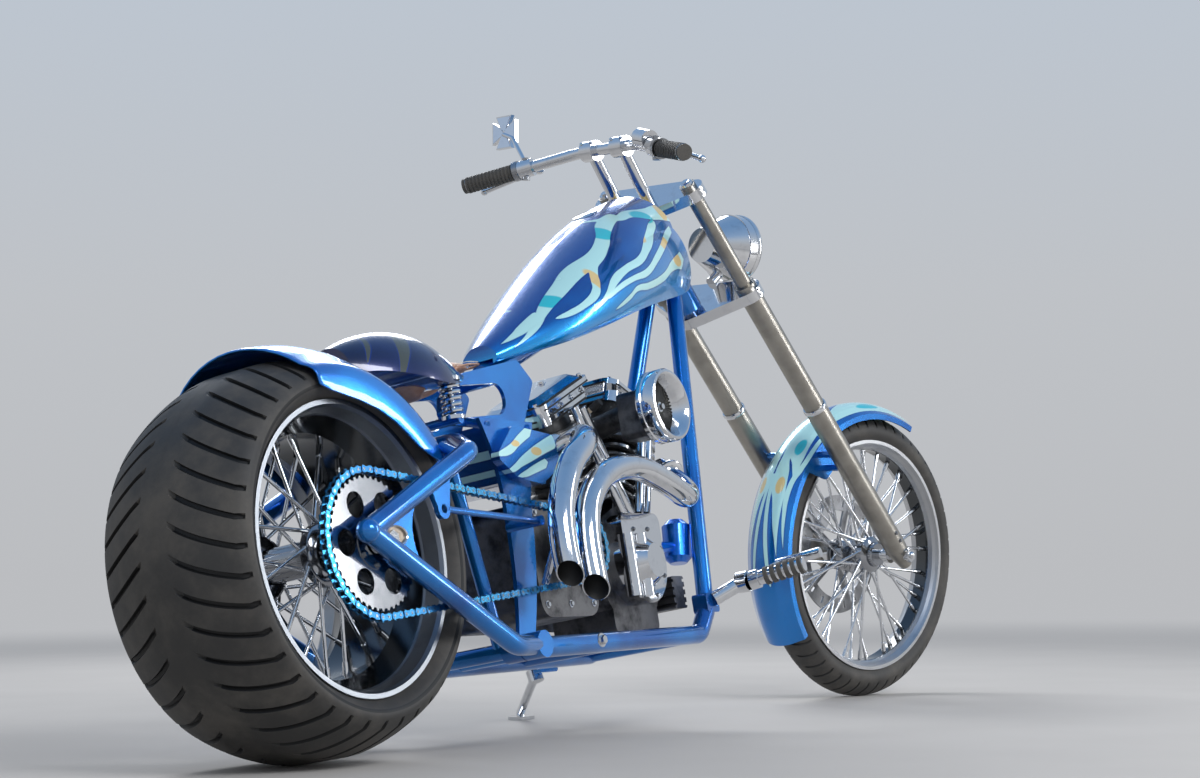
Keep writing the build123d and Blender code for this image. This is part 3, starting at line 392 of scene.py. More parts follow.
@dataclass(frozen=True)
class CastAlloy:
    """Sand-cast aluminium with grit and stains, and polished fin edges where a cylinder's lean is given."""

    name: str
    tint: Colour
    soot: Colour = (0.02, 0.02, 0.02)
    lean: float | None = None
    fin_radius: float = 77.5
    polished: Colour = (0.62, 0.62, 0.62)

    def build(self) -> bpy.types.Material:
        """The finished material."""
        shade = Shade(self.name)
        here = shade.place()
        grit = shade.noise(here, scale=700, detail=2)
        stain = shade.noise(here, scale=26, detail=5, roughness=0.65)
        base = shade.blend(stain.step(0.38, 0.75), self.tint, self.soot)
        rough = stain * 0.3 + 0.28
        if self.lean is not None:
            x, y, z = shade.parts(shade.place(Stance.FRAME))
            turn = math.radians(self.lean)
            off = (x - CRANK[0] * MM) * math.cos(turn) - (z - CRANK[1] * MM) * math.sin(turn)
            reach = (off * off + y * y).power(0.5) * TO_MM
            rim = reach.step(self.fin_radius - 1.0, self.fin_radius)
            base = shade.blend(rim, base, self.polished)
            rough = rough - rim * 0.2
        shade.set(
            Base_Color=base,
            Metallic=0.9,
            Roughness=rough,
            Normal=shade.bump(grit, distance=0.0004, strength=0.5),
        )
        return shade.material


@dataclass(frozen=True)
class Rubber:
    """Tyre or grip rubber, dusty where it is rubbed."""

    name: str = "rubber"
    tint: Colour = (0.032, 0.031, 0.03)
    dust: Colour = (0.115, 0.105, 0.092)
    amount: float = 0.75

    def build(self) -> bpy.types.Material:
        """The finished material."""
        shade = Shade(self.name)
        here = shade.place()
        cloud = shade.noise(here, scale=9, detail=6, roughness=0.65)
        grain = shade.noise(here, scale=900, detail=2)
        shade.set(
            Base_Color=shade.blend(cloud.step(0.35, 0.8) * self.amount, self.tint, self.dust),
            Roughness=cloud * 0.25 + 0.5,
            Normal=shade.bump(grain, distance=0.0003, strength=0.4),
        )
        return shade.material


@dataclass(frozen=True)
class Leather:
    """Grained leather or thread, paler where it is worn."""

    name: str
    tint: Colour
    worn: Colour
    roughness: float = 0.42
    spread: float = 0.2
    pore_scale: float = 420.0

    def build(self) -> bpy.types.Material:
        """The finished material."""
        shade = Shade(self.name)
        here = shade.place()
        settings, values = {"feature": "DISTANCE_TO_EDGE"}, {"Vector": here, "Scale": self.pore_scale}
        pores = shade.node("ShaderNodeTexVoronoi", settings, values)
        cloud = shade.noise(here, scale=28, detail=5, roughness=0.6)
        creases = pores.step(0.0, 0.12)
        shade.set(
            Base_Color=shade.blend(cloud.step(0.35, 0.75), self.tint, self.worn),
            Roughness=cloud * self.spread + self.roughness - self.spread / 2,
            Normal=shade.bump(creases + shade.noise(here, scale=90, detail=3), distance=0.0006, strength=0.5),
            Coat_Weight=0.15,
            Coat_Roughness=0.3,
        )
        return shade.material


@dataclass(frozen=True)
class Flame:
    """One painted tongue, as points of (along, across, half width) in millimetres on its panel.

    The points go from its root to its tip, steadily one way along.
    """

    course: tuple[tuple[float, float, float], ...]


@dataclass(frozen=True)
class Spot:
    """A soft oval of another colour inside the flames, as centre and half sizes on the panel."""

    along: float
    across: float
    long: float
    wide: float
    colour: Colour


class Panel(Enum):
    """The flamed panels by how their measures run: straight along the bike, or round the front wheel."""

    SIDE = "side"
    FENDER = "fender"


@dataclass(frozen=True)
class Grade:
    """A panel's lower edge and its height above that, both as straight lines along it, in millimetres."""

    edge: float
    edge_slope: float
    height: float
    height_slope: float


PALE = (0.5, 0.86, 0.88)
GOLD = (0.78, 0.6, 0.26)
# The olive of the painted reflection on the seat shell.
REFLECTED_OLIVE = (0.06, 0.066, 0.05)
TEAL = (0.02, 0.55, 0.68)
AZURE = (0.0, 0.36, 0.9)
NIGHT = (0.0, 0.07, 0.36)
HALO = (0.0, 0.03, 0.3)


@dataclass(frozen=True)
class CandyPaint:
    """Candy blue over flake with a clear coat, and flames where a panel has them.

    Attributes:
        name: the material's name.
        body: the main colour.
        deep: the colour of its darker clouds.
        flake: the colour of the flakes.
        flames: the tongues.
        spots: the patches of other colours in them.
        stance: the stance in which the panel is measured.
        panel: how its measures run.
        grade: its edge and height, where it is brighter at the foot and darker at the top.
        metal: how metallic the paint is.
        flame_metal: how metallic the flames are.
        shine: its least roughness, under the clear coat.
        licks: the flames' colour.
        flake_scale: the number of flakes in a metre.
        fender_crown: the radius of the front fender's middle, in metres.
        fender_arc: the radius at which its angles are turned to millimetres.
    """

    name: str = "candy_blue"
    body: Colour = (0.0, 0.19, 0.62)
    deep: Colour = (0.0, 0.085, 0.38)
    flake: Colour = (0.02, 0.5, 0.92)
    flames: tuple[Flame, ...] = ()
    spots: tuple[Spot, ...] = ()
    stance: Stance = Stance.FRAME
    panel: Panel = Panel.SIDE
    grade: Grade | None = None
    metal: float = 0.7
    flame_metal: float = 0.15
    shine: float = 0.2
    licks: Colour = PALE
    flake_scale: float = 1500.0
    fender_crown: float = 0.365
    fender_arc: float = 370.0

    def coordinates(self, shade: Shade) -> tuple[Wire, Wire]:
        """The two measures on the panel, in millimetres: along and across the flames."""
        x, y, z = shade.parts(shade.place(self.stance))
        if self.panel is Panel.SIDE:
            return x * TO_MM, z * TO_MM
        forward, up = x - FRONT_AXLE[0] * MM, z - FRONT_AXLE[2] * MM
        radius = (forward * forward + up * up).power(0.5)
        angle = forward.maths("ARCTAN2", up)
        drop = (self.fender_crown - radius) * TO_MM
        return angle * self.fender_arc, y.absolute() * TO_MM + drop.most(0.0)

    def tongue(self, shade: Shade, along: Wire, across: Wire, flame: Flame) -> Wire:
        """How far inside one tongue a place is, in millimetres."""
        points = sorted(flame.course)
        low, high = points[0][0], points[-1][0]
        floor = min(point[1] for point in points)
        rise = max(1.0, max(point[1] for point in points) - floor)
        widest = max(point[2] for point in points)
        share = (along - low) / (high - low)
        line = [((a - low) / (high - low), (c - floor) / rise) for a, c, _ in points]
        swell = [((a - low) / (high - low), w / widest) for a, _, w in points]
        middle, half = (
            shade.node("ShaderNodeFloatCurve", {"course": course}, {"Value": share}) for course in (line, swell)
        )
        past = ((share - 1.0).most(0.0) + (share * -1.0).most(0.0)) * (high - low)
        return half * widest - (across - (middle * rise + floor)).absolute() - past

    def graded(self, shade: Shade, along: Wire, across: Wire, base: Wire) -> Wire:
        """The paint with a bright band along the panel's foot and a dark one along its top."""
        bottom = along * self.grade.edge_slope + self.grade.edge
        share = (across - bottom) / (along * self.grade.height_slope + self.grade.height)
        base = shade.blend(share.step(0.1, 0.62), AZURE, base)
        return shade.blend(share.step(0.6, 0.9), base, NIGHT)

    def flamed(self, shade: Shade, along: Wire, across: Wire, base: Wire) -> tuple[Wire, Wire]:
        """The paint with its flames, and the metallic share that they leave."""
        tongues = iter(self.flames)
        inside = self.tongue(shade, along, across, next(tongues))
        for flame in tongues:
            inside = inside.soft_most(self.tongue(shade, along, across, flame), 6.0)
        licked = self.licks
        for spot in self.spots:
            lengthwise = ((along - spot.along) / spot.long).power(2.0)
            crosswise = ((across - spot.across) / spot.wide).power(2.0)
            licked = shade.blend((lengthwise + crosswise).step(1.25, 0.75), licked, spot.colour)
        mask = inside.step(-0.8, 0.8)
        halo = inside.step(-5.0, -0.5)
        base = shade.blend(halo * 0.55, base, HALO)
        base = shade.blend(mask, base, licked)
        return base, self.metal - mask * (self.metal - self.flame_metal)

    def build(self) -> bpy.types.Material:
        """The finished material."""
        shade = Shade(self.name)
        here = shade.place()
        chips = shade.node("ShaderNodeTexVoronoi", {}, {"Vector": here, "Scale": self.flake_scale}, "Color")
        sparkle, _, _ = shade.parts(chips)
        depth = shade.noise(here, scale=7, detail=2)
        base = shade.blend(depth.step(0.35, 0.7), self.body, self.deep)
        metal = self.metal
        if self.flames:
            along, across = self.coordinates(shade)
        if self.grade:
            base = self.graded(shade, along, across, base)
        base = shade.blend(sparkle.step(0.75, 1.0) * 0.3, base, self.flake)
        if self.flames:
            base, metal = self.flamed(shade, along, across, base)
        shade.set(
            Base_Color=base,
            Metallic=metal,
            Roughness=depth * 0.1 + self.shine,
            Coat_Weight=1.0,
            Coat_Roughness=0.03,
        )
        return shade.material


@dataclass(frozen=True)
class Lens:
    """A fluted lens over a bright reflector, as one pale gloss that the export holds."""

    name: str = "lens_glass"
    tint: Colour = (0.82, 0.87, 0.9)
    # The darker colour of the painted shade in the flutes' furrows.
    furrow_shade: Colour = (0.35, 0.38, 0.41)
    flutes: float = 900.0

    def build(self) -> bpy.types.Material:
        """The finished material."""
        shade = Shade(self.name)
        film = shade.noise(shade.place(), scale=60, detail=2)
        _, y, _ = shade.parts(shade.place(Stance.FORK))
        ribs = (y * self.flutes).sine() * 0.5 + 0.5
        shade.set(
            # Painted shade: the furrows between the flutes are painted darker.
            Base_Color=shade.blend(ribs, self.tint, self.furrow_shade),
            Roughness=film * 0.05 + 0.03,
            Metallic=0.55,
            Normal=shade.bump(ribs, distance=0.0012, strength=0.8),
            Coat_Weight=1.0,
        )
        return shade.material


TANK_FLAMES = (
    Flame((
        (1130, 1062, 5), (1068, 1025, 12), (1017, 980, 13), (970, 944, 14), (897, 905, 14), (842, 867, 12),
        (775, 818, 9), (727, 775, 6), (676, 738, 0),
    )),
    Flame((
        (985, 950, 0), (952, 930, 12), (919, 886, 14), (896, 853, 11), (854, 825, 7), (814, 807, 6),
        (776, 795, 0),
    )),
    Flame((
        (1235, 1050, 0), (1205, 1032, 13), (1170, 1004, 14), (1128, 972, 11), (1081, 940, 9), (1014, 912, 8),
        (962, 882, 10), (921, 845, 7), (876, 812, 0),
    )),
    Flame((
        (1310, 1046, 8), (1248, 1012, 9), (1214, 990, 9), (1158, 954, 9), (1090, 912, 8), (1031, 893, 6),
        (977, 871, 6), (926, 842, 0),
    )),
    Flame((
        (1310, 972, 20), (1244, 950, 12), (1184, 916, 9), (1096, 885, 7), (1043, 873, 6), (1012, 853, 6),
        (955, 822, 0),
    )),
    Flame((
        (1330, 1092, 24), (1270, 1080, 18), (1220, 1070, 14), (1170, 1066, 10), (1110, 1050, 6),
        (1060, 1052, 0),
    )),
    Flame(((1150, 1100, 5), (1110, 1086, 7), (1050, 1062, 7), (1000, 1044, 5), (940, 1000, 4), (890, 980, 0))),
    Flame((
        (1010, 1030, 4), (957, 988, 6), (903, 950, 5), (859, 916, 5), (804, 886, 5), (769, 854, 4),
        (750, 828, 0),
    )),
    Flame(((909, 1000, 4), (845, 958, 5), (790, 908, 5), (739, 862, 4), (700, 822, 4), (668, 790, 0))),
    Flame(((760, 812, 0), (745, 800, 7), (719, 782, 8), (690, 764, 5), (660, 748, 0))),
)
TANK_SPOTS = (
    Spot(1131, 1004, 24, 17, GOLD), Spot(921, 884, 14, 28, GOLD), Spot(1225, 1000, 26, 20, GOLD),
    Spot(1200, 1060, 34, 16, TEAL), Spot(1280, 968, 30, 14, GOLD), Spot(1300, 1090, 22, 26, GOLD),
    Spot(1040, 1010, 26, 22, TEAL), Spot(990, 1030, 40, 16, GOLD), Spot(850, 955, 40, 16, GOLD),
    Spot(800, 838, 26, 18, TEAL),
)
# Two olive bands on the seat shell: a painted reflection on its gloss.
SHELL_REFLECTION_BANDS = (
    Flame(((300, 742, 20), (280, 715, 22), (262, 690, 20), (246, 660, 14), (236, 640, 0))),
    Flame(((230, 738, 5), (214, 712, 7), (200, 690, 6), (190, 670, 0))),
)
COVER_FLAMES = (
    Flame(((640, 536, 14), (592, 520, 13), (560, 508, 12), (520, 492, 9), (490, 478, 6), (462, 470, 0))),
    Flame(((600, 492, 9), (560, 480, 8), (528, 470, 6), (500, 464, 0))),
    Flame(((560, 552, 11), (520, 532, 10), (488, 514, 9), (455, 505, 5), (436, 502, 0))),
)
COVER_SPOTS = (Spot(575, 514, 18, 8, GOLD), Spot(508, 526, 14, 6, GOLD))
FENDER_FLAMES = (
    Flame(((170, 24, 44), (60, 28, 40), (-40, 30, 36), (-110, 38, 26), (-170, 46, 14), (-235, 54, 0))),
    Flame(((-150, 18, 10), (-215, 24, 26), (-290, 32, 26), (-340, 46, 14), (-392, 62, 0))),
    Flame(((-250, 4, 8), (-320, 12, 10), (-400, 24, 18), (-450, 32, 13), (-520, 38, 7), (-580, 44, 0))),
    Flame(((-190, 66, 4), (-280, 74, 7), (-350, 68, 8), (-420, 54, 8), (-480, 58, 6), (-560, 66, 0))),
    Flame(((-380, 2, 4), (-460, 8, 5), (-560, 16, 5), (-650, 24, 0))),
)
FENDER_SPOTS = (
    Spot(-10, 40, 42, 13, TEAL), Spot(-290, 34, 26, 12, TEAL), Spot(-405, 26, 22, 10, GOLD),
    Spot(120, 22, 36, 14, GOLD),
)


class Finishes:
    """Every finish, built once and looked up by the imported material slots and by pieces."""

    OF_SLOT = {
        "chrome": "chrome", "steel": "steel", "blue": "candy", "navy": "navy", "alloy": "alloy",
        "leather": "tan", "rubber": "rubber",
    }
    OF_NODE = {
        "fuel_tank": "tank", "oil_tank": "cover", "front_fender": "front_fender", "fork_legs": "fork",
        "rear_cylinder": "rear_fins", "front_cylinder": "front_fins", "rear_sprocket": "dark_chrome",
        "grips": "grip", "seat_shell": "shell", "filter_pod": "pod", "rear_rim": "rear_well",
        "front_rim": "front_well", "rear_spokes": "dark_chrome", "front_spokes": "dark_chrome",
    }

    def __init__(self) -> None:
        """Builds the materials."""
        navy = {"body": (0.004, 0.012, 0.1), "deep": (0.002, 0.004, 0.03), "flake": (0.01, 0.04, 0.24)}
        makers = {
            "chrome": Chrome(),
            "dark_chrome": Chrome("smoked_chrome", (0.34, 0.35, 0.37), 0.08),
            "rear_well": Chrome("rear_rim_chrome_well_shade", (0.3, 0.32, 0.35), 0.12, Body.REAR_WHEEL, 98.0),
            "front_well": Chrome("front_rim_chrome_well_shade", (0.46, 0.47, 0.49), 0.08, Body.FRONT_WHEEL, 20.0),
            "steel": BrushedMetal("brushed_steel", (0.26, 0.265, 0.275)),
            "fork": BrushedMetal("fork_alloy", (0.38, 0.36, 0.325), (30.0, 30.0, 30.0), 0.34, relief=0.0),
            "candy": CandyPaint(),
            "tank": CandyPaint(
                "tank_flames", flames=TANK_FLAMES, spots=TANK_SPOTS, grade=Grade(535.0, 0.275, -197.0, 0.37)
            ),
            "cover": CandyPaint("cover_flames", flames=COVER_FLAMES, spots=COVER_SPOTS),
            "front_fender": CandyPaint(
                "fender_flames", flames=FENDER_FLAMES, spots=FENDER_SPOTS, stance=Stance.FORK,
                panel=Panel.FENDER,
            ),
            "chain_blue": CandyPaint(
                "chain_blue", body=(0.02, 0.26, 0.5), deep=(0.01, 0.13, 0.34), metal=0.8
            ),
            "navy": CandyPaint("navy_gloss", **navy),
            # The seat shell, with a painted reflection in olive bands.
            "shell": CandyPaint("shell_navy_painted_reflection", flames=SHELL_REFLECTION_BANDS, licks=REFLECTED_OLIVE, metal=0.3, **navy),
            "pod": CandyPaint("pod_blue", body=(0.0, 0.22, 0.9), deep=(0.0, 0.1, 0.6)),
            "alloy": CastAlloy("cast_alloy", (0.11, 0.11, 0.115), (0.02, 0.02, 0.022)),
            "rear_fins": CastAlloy("rear_fin_alloy", (0.1, 0.1, 0.1), lean=-HALF_V),
            "front_fins": CastAlloy("front_fin_alloy", (0.1, 0.1, 0.1), lean=HALF_V),
            "tan": Leather("tan_leather", (0.42, 0.2, 0.11), (0.6, 0.36, 0.24)),
            "stitch": Leather("stitch_thread", (0.75, 0.62, 0.45), (0.85, 0.75, 0.6)),
            "rubber": Rubber(),
            "grip": Rubber("grip_rubber", (0.07, 0.066, 0.06), (0.16, 0.15, 0.135), 0.5),
            # Near-black: the own colour of gaskets, plug caps and pleat rods; painted shade on the tyres'
            # groove floors; soot with painted shade inside the exhaust mouths.
            "black": Rubber("black_and_painted_shade", (0.006, 0.006, 0.006), (0.015, 0.013, 0.012), 0.5),
            "pleats": Rubber("intake_pleats", (0.05, 0.05, 0.03), (0.12, 0.1, 0.06), 0.6),
            "bronze": BrushedMetal("worn_bronze", (0.32, 0.27, 0.22), (400.0, 60.0, 400.0), 0.4),
            "rear_fender": CandyPaint("rear_fender_blue", body=(0.0, 0.24, 0.78), deep=(0.0, 0.14, 0.56)),
            "lens": Lens(),
            "mirror": Chrome("mirror_glass", (0.62, 0.74, 0.92), 0.01),
        }
        self.made = {name: maker.build() for name, maker in makers.items()}

    def __getitem__(self, name: str) -> bpy.types.Material:
        """The finish of that name."""
        return self.made[name]

    def dress_frame(self, frame: dict) -> None:
        """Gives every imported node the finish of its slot, or its own where it has one.
        """
        for row in frame["record"]["subparts"]:
            node = frame["nodes"][row["node"]]
            finish = self.OF_NODE.get(row["node"], self.OF_SLOT[row["material_slot"]])
            node.data.materials.clear()
            node.data.materials.append(self.made[finish])


# Mesh making


class Forge:
    """A mesh under construction from bmesh operators, in the upright bike's millimetres."""

    COIL_STEPS = 18

    def __init__(self, name: str, body: Body) -> None:
        """Starts an empty piece.

        Args:
            name: the piece's name.
            body: the body that it rides on.
        """
        self.name = name
        self.body = body
        self.mesh = bmesh.new()
        self.slots: list[bpy.types.Material] = []

    def paint(self, faces: Iterable[bmesh.types.BMFace], finish: bpy.types.Material) -> None:
        """Gives faces a finish."""
        if finish not in self.slots:
            self.slots.append(finish)
        index = self.slots.index(finish)
        for face in faces:
            face.material_index = index

    def new_faces(self, verts: Iterable[bmesh.types.BMVert]) -> set[bmesh.types.BMFace]:
        """The faces round some vertices."""
        return {face for vert in verts for face in vert.link_faces}

    def rod(
        self, start: Point, end: Point, radius: float, finish: bpy.types.Material, sides: int = 16,
        end_radius: float | None = None,
    ) -> None:
        """A round or many-sided bar between two points, closed at both ends.

        Args:
            start: the middle of its first end.
            end: the middle of its other end.
            radius: its radius, also at the other end unless end_radius is given.
            finish: its material.
            sides: the number of sides.
            end_radius: the radius at the other end.
        """
        a, b = Vector(start), Vector(end)
        along = b - a
        turn = along.to_track_quat("Z", "Y").to_matrix().to_4x4()
        made = bmesh.ops.create_cone(
            self.mesh, cap_ends=True, segments=sides, radius1=radius,
            radius2=radius if end_radius is None else end_radius, depth=along.length,
            matrix=Matrix.Translation((a + b) / 2) @ turn,
        )
        self.paint(self.new_faces(made["verts"]), finish)

    def ball(self, centre: Point, radius: float, finish: bpy.types.Material) -> None:
        """A small round ball."""
        made = bmesh.ops.create_icosphere(
            self.mesh, subdivisions=2, radius=radius, matrix=Matrix.Translation(Vector(centre))
        )
        self.paint(self.new_faces(made["verts"]), finish)

    def lathe(
        self, profile: Sequence[tuple[float, float]], centre: Point, axis: Point,
        finish: bpy.types.Material, steps: int = 48,
    ) -> list[bmesh.types.BMVert]:
        """Spins a closed profile round an axis.

        Args:
            profile: its points, as distance along the axis and radius.
            centre: where the axis starts.
            axis: its direction.
            finish: the material.
            steps: the number of steps round.

        Returns:
            The new vertices.
        """
        middle, along = Vector(centre), Vector(axis).normalized()
        side = along.orthogonal().normalized()
        verts = [self.mesh.verts.new(middle + along * place + side * radius) for place, radius in profile]
        edges = [self.mesh.edges.new((verts[i - 1], verts[i])) for i in range(len(verts))]
        before = set(self.mesh.verts)
        bmesh.ops.spin(
            self.mesh, geom=[*verts, *edges], cent=middle, axis=along, angle=math.tau, steps=steps,
            use_merge=True, use_duplicate=False,
        )
        made = [vert for vert in self.mesh.verts if vert not in before]
        made += [vert for vert in verts if vert.is_valid]
        faces = self.new_faces(made)
        bmesh.ops.recalc_face_normals(self.mesh, faces=list(faces))
        self.paint(faces, finish)
        return made

    def squeeze(self, verts: list[bmesh.types.BMVert], share: Point, centre: Point) -> None:
        """Scales some vertices towards a centre, by a share for each axis."""
        space = Matrix.Translation(-Vector(centre))
        bmesh.ops.scale(self.mesh, vec=share, verts=verts, space=space)

    def bolt(
        self, centre: Point, axis: Point, radius: float, finish: bpy.types.Material, height: float = 4.0
    ) -> None:
        """A hexagonal screw head on a round washer, seated on a surface."""
        base, along = Vector(centre), Vector(axis).normalized()
        self.rod(base - along, base + along * 1.2, radius * 1.45, finish)
        self.rod(base, base + along * height, radius, finish, sides=6, end_radius=radius * 0.9)

    def plate(self, outline: Sequence[Point], thickness: Point, finish: bpy.types.Material) -> None:
        """A flat plate from an outline, pushed along a thickness vector."""
        verts = [self.mesh.verts.new(Vector(point)) for point in outline]
        face = self.mesh.faces.new(verts)
        grown = bmesh.ops.extrude_face_region(self.mesh, geom=[face])
        moved = [item for item in grown["geom"] if isinstance(item, bmesh.types.BMVert)]
        bmesh.ops.translate(self.mesh, verts=moved, vec=Vector(thickness))
        faces = self.new_faces(verts + moved)
        bmesh.ops.recalc_face_normals(self.mesh, faces=list(faces))
        self.paint(faces, finish)

    def pipe(
        self, points: Sequence[Point], radius: float, finish: bpy.types.Material, sides: int = 12,
        capped: bool = True, steps: int = 8,
    ) -> None:
        """A round bar or an open tube along a smooth curve.

        Args:
            points: the curve's control points.
            radius: the radius.
            finish: the material.
            sides: the number of sides, as a multiple of four.
            capped: whether its ends are closed.
            steps: the number of steps from point to point.
        """
        curve = bpy.data.curves.new("route", "CURVE")
        curve.dimensions = "3D"
        curve.bevel_depth = radius
        curve.bevel_resolution = max(1, sides // 4)
        curve.use_fill_caps = capped
        spline = curve.splines.new("NURBS")
        spline.points.add(len(points) - 1)
        for place, point in zip(spline.points, points):
            place.co = (*point, 1.0)
        spline.order_u = 3
        spline.use_endpoint_u = True
        spline.resolution_u = steps
        carrier = bpy.data.objects.new("route", curve)
        made = bpy.data.meshes.new_from_object(carrier)
        before = set(self.mesh.verts)
        self.mesh.from_mesh(made)
        faces = self.new_faces(vert for vert in self.mesh.verts if vert not in before)
        bmesh.ops.recalc_face_normals(self.mesh, faces=list(faces))
        self.paint(faces, finish)
        bpy.data.objects.remove(carrier)
        bpy.data.curves.remove(curve)
        bpy.data.meshes.remove(made)

    def coil(
        self, foot: Point, height: float, radius: float, wire: float, turns: float, finish: bpy.types.Material
    ) -> None:
        """An upright coil spring.

        Args:
            foot: the middle of its foot.
            height: its height.
            radius: the radius of the coil.
            wire: the radius of its wire.
            turns: the number of turns.
            finish: the material.
        """
        base = Vector(foot)
        upright = Matrix.Rotation(math.pi / 2, 4, "X")
        ring = bmesh.ops.create_circle(
            self.mesh, cap_ends=False, segments=8, radius=wire,
            matrix=Matrix.Translation(base + Vector((radius, 0, 0))) @ upright,
        )["verts"]
        edges = list({edge for vert in ring for edge in vert.link_edges})
        steps = int(self.COIL_STEPS * turns)
        before = set(self.mesh.verts) - set(ring)
        bmesh.ops.spin(
            self.mesh, geom=[*ring, *edges], cent=base, axis=(0, 0, 1), dvec=(0, 0, height / steps),
            angle=math.tau * turns, steps=steps, use_merge=False, use_duplicate=False,
        )
        made = [vert for vert in self.mesh.verts if vert not in before]
        ends = {edge for vert in made for edge in vert.link_edges if edge.is_boundary}
        bmesh.ops.holes_fill(self.mesh, edges=list(ends), sides=0)
        faces = self.new_faces(made)
        bmesh.ops.recalc_face_normals(self.mesh, faces=list(faces))
        self.paint(faces, finish)

    def finish(self, slot: str, replaces: Sequence[str] = (), smooth: float = 35.0) -> bpy.types.Object:
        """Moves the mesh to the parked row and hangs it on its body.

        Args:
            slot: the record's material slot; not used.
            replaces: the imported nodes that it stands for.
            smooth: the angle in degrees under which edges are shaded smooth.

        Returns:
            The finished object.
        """
        data = bpy.data.meshes.new(self.name)
        bmesh.ops.transform(self.mesh, matrix=Matrix.Scale(MM, 4), verts=self.mesh.verts)
        bmesh.ops.transform(self.mesh, matrix=self.body.stance.matrix(), verts=self.mesh.verts)
        self.mesh.to_mesh(data)
        self.mesh.free()
        for finish in self.slots:
            data.materials.append(finish)
        data.shade_smooth()
        data.set_sharp_from_angle(angle=math.radians(smooth))
        made = bpy.data.objects.new(self.name, data)
        bpy.context.scene.collection.objects.link(made)
        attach(made, self.body.value)
        if replaces:
            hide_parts(*replaces)
        LOG.info("%s: %d faces on %s", self.name, len(data.polygons), self.body.value)
        return made


# Sub-assemblies


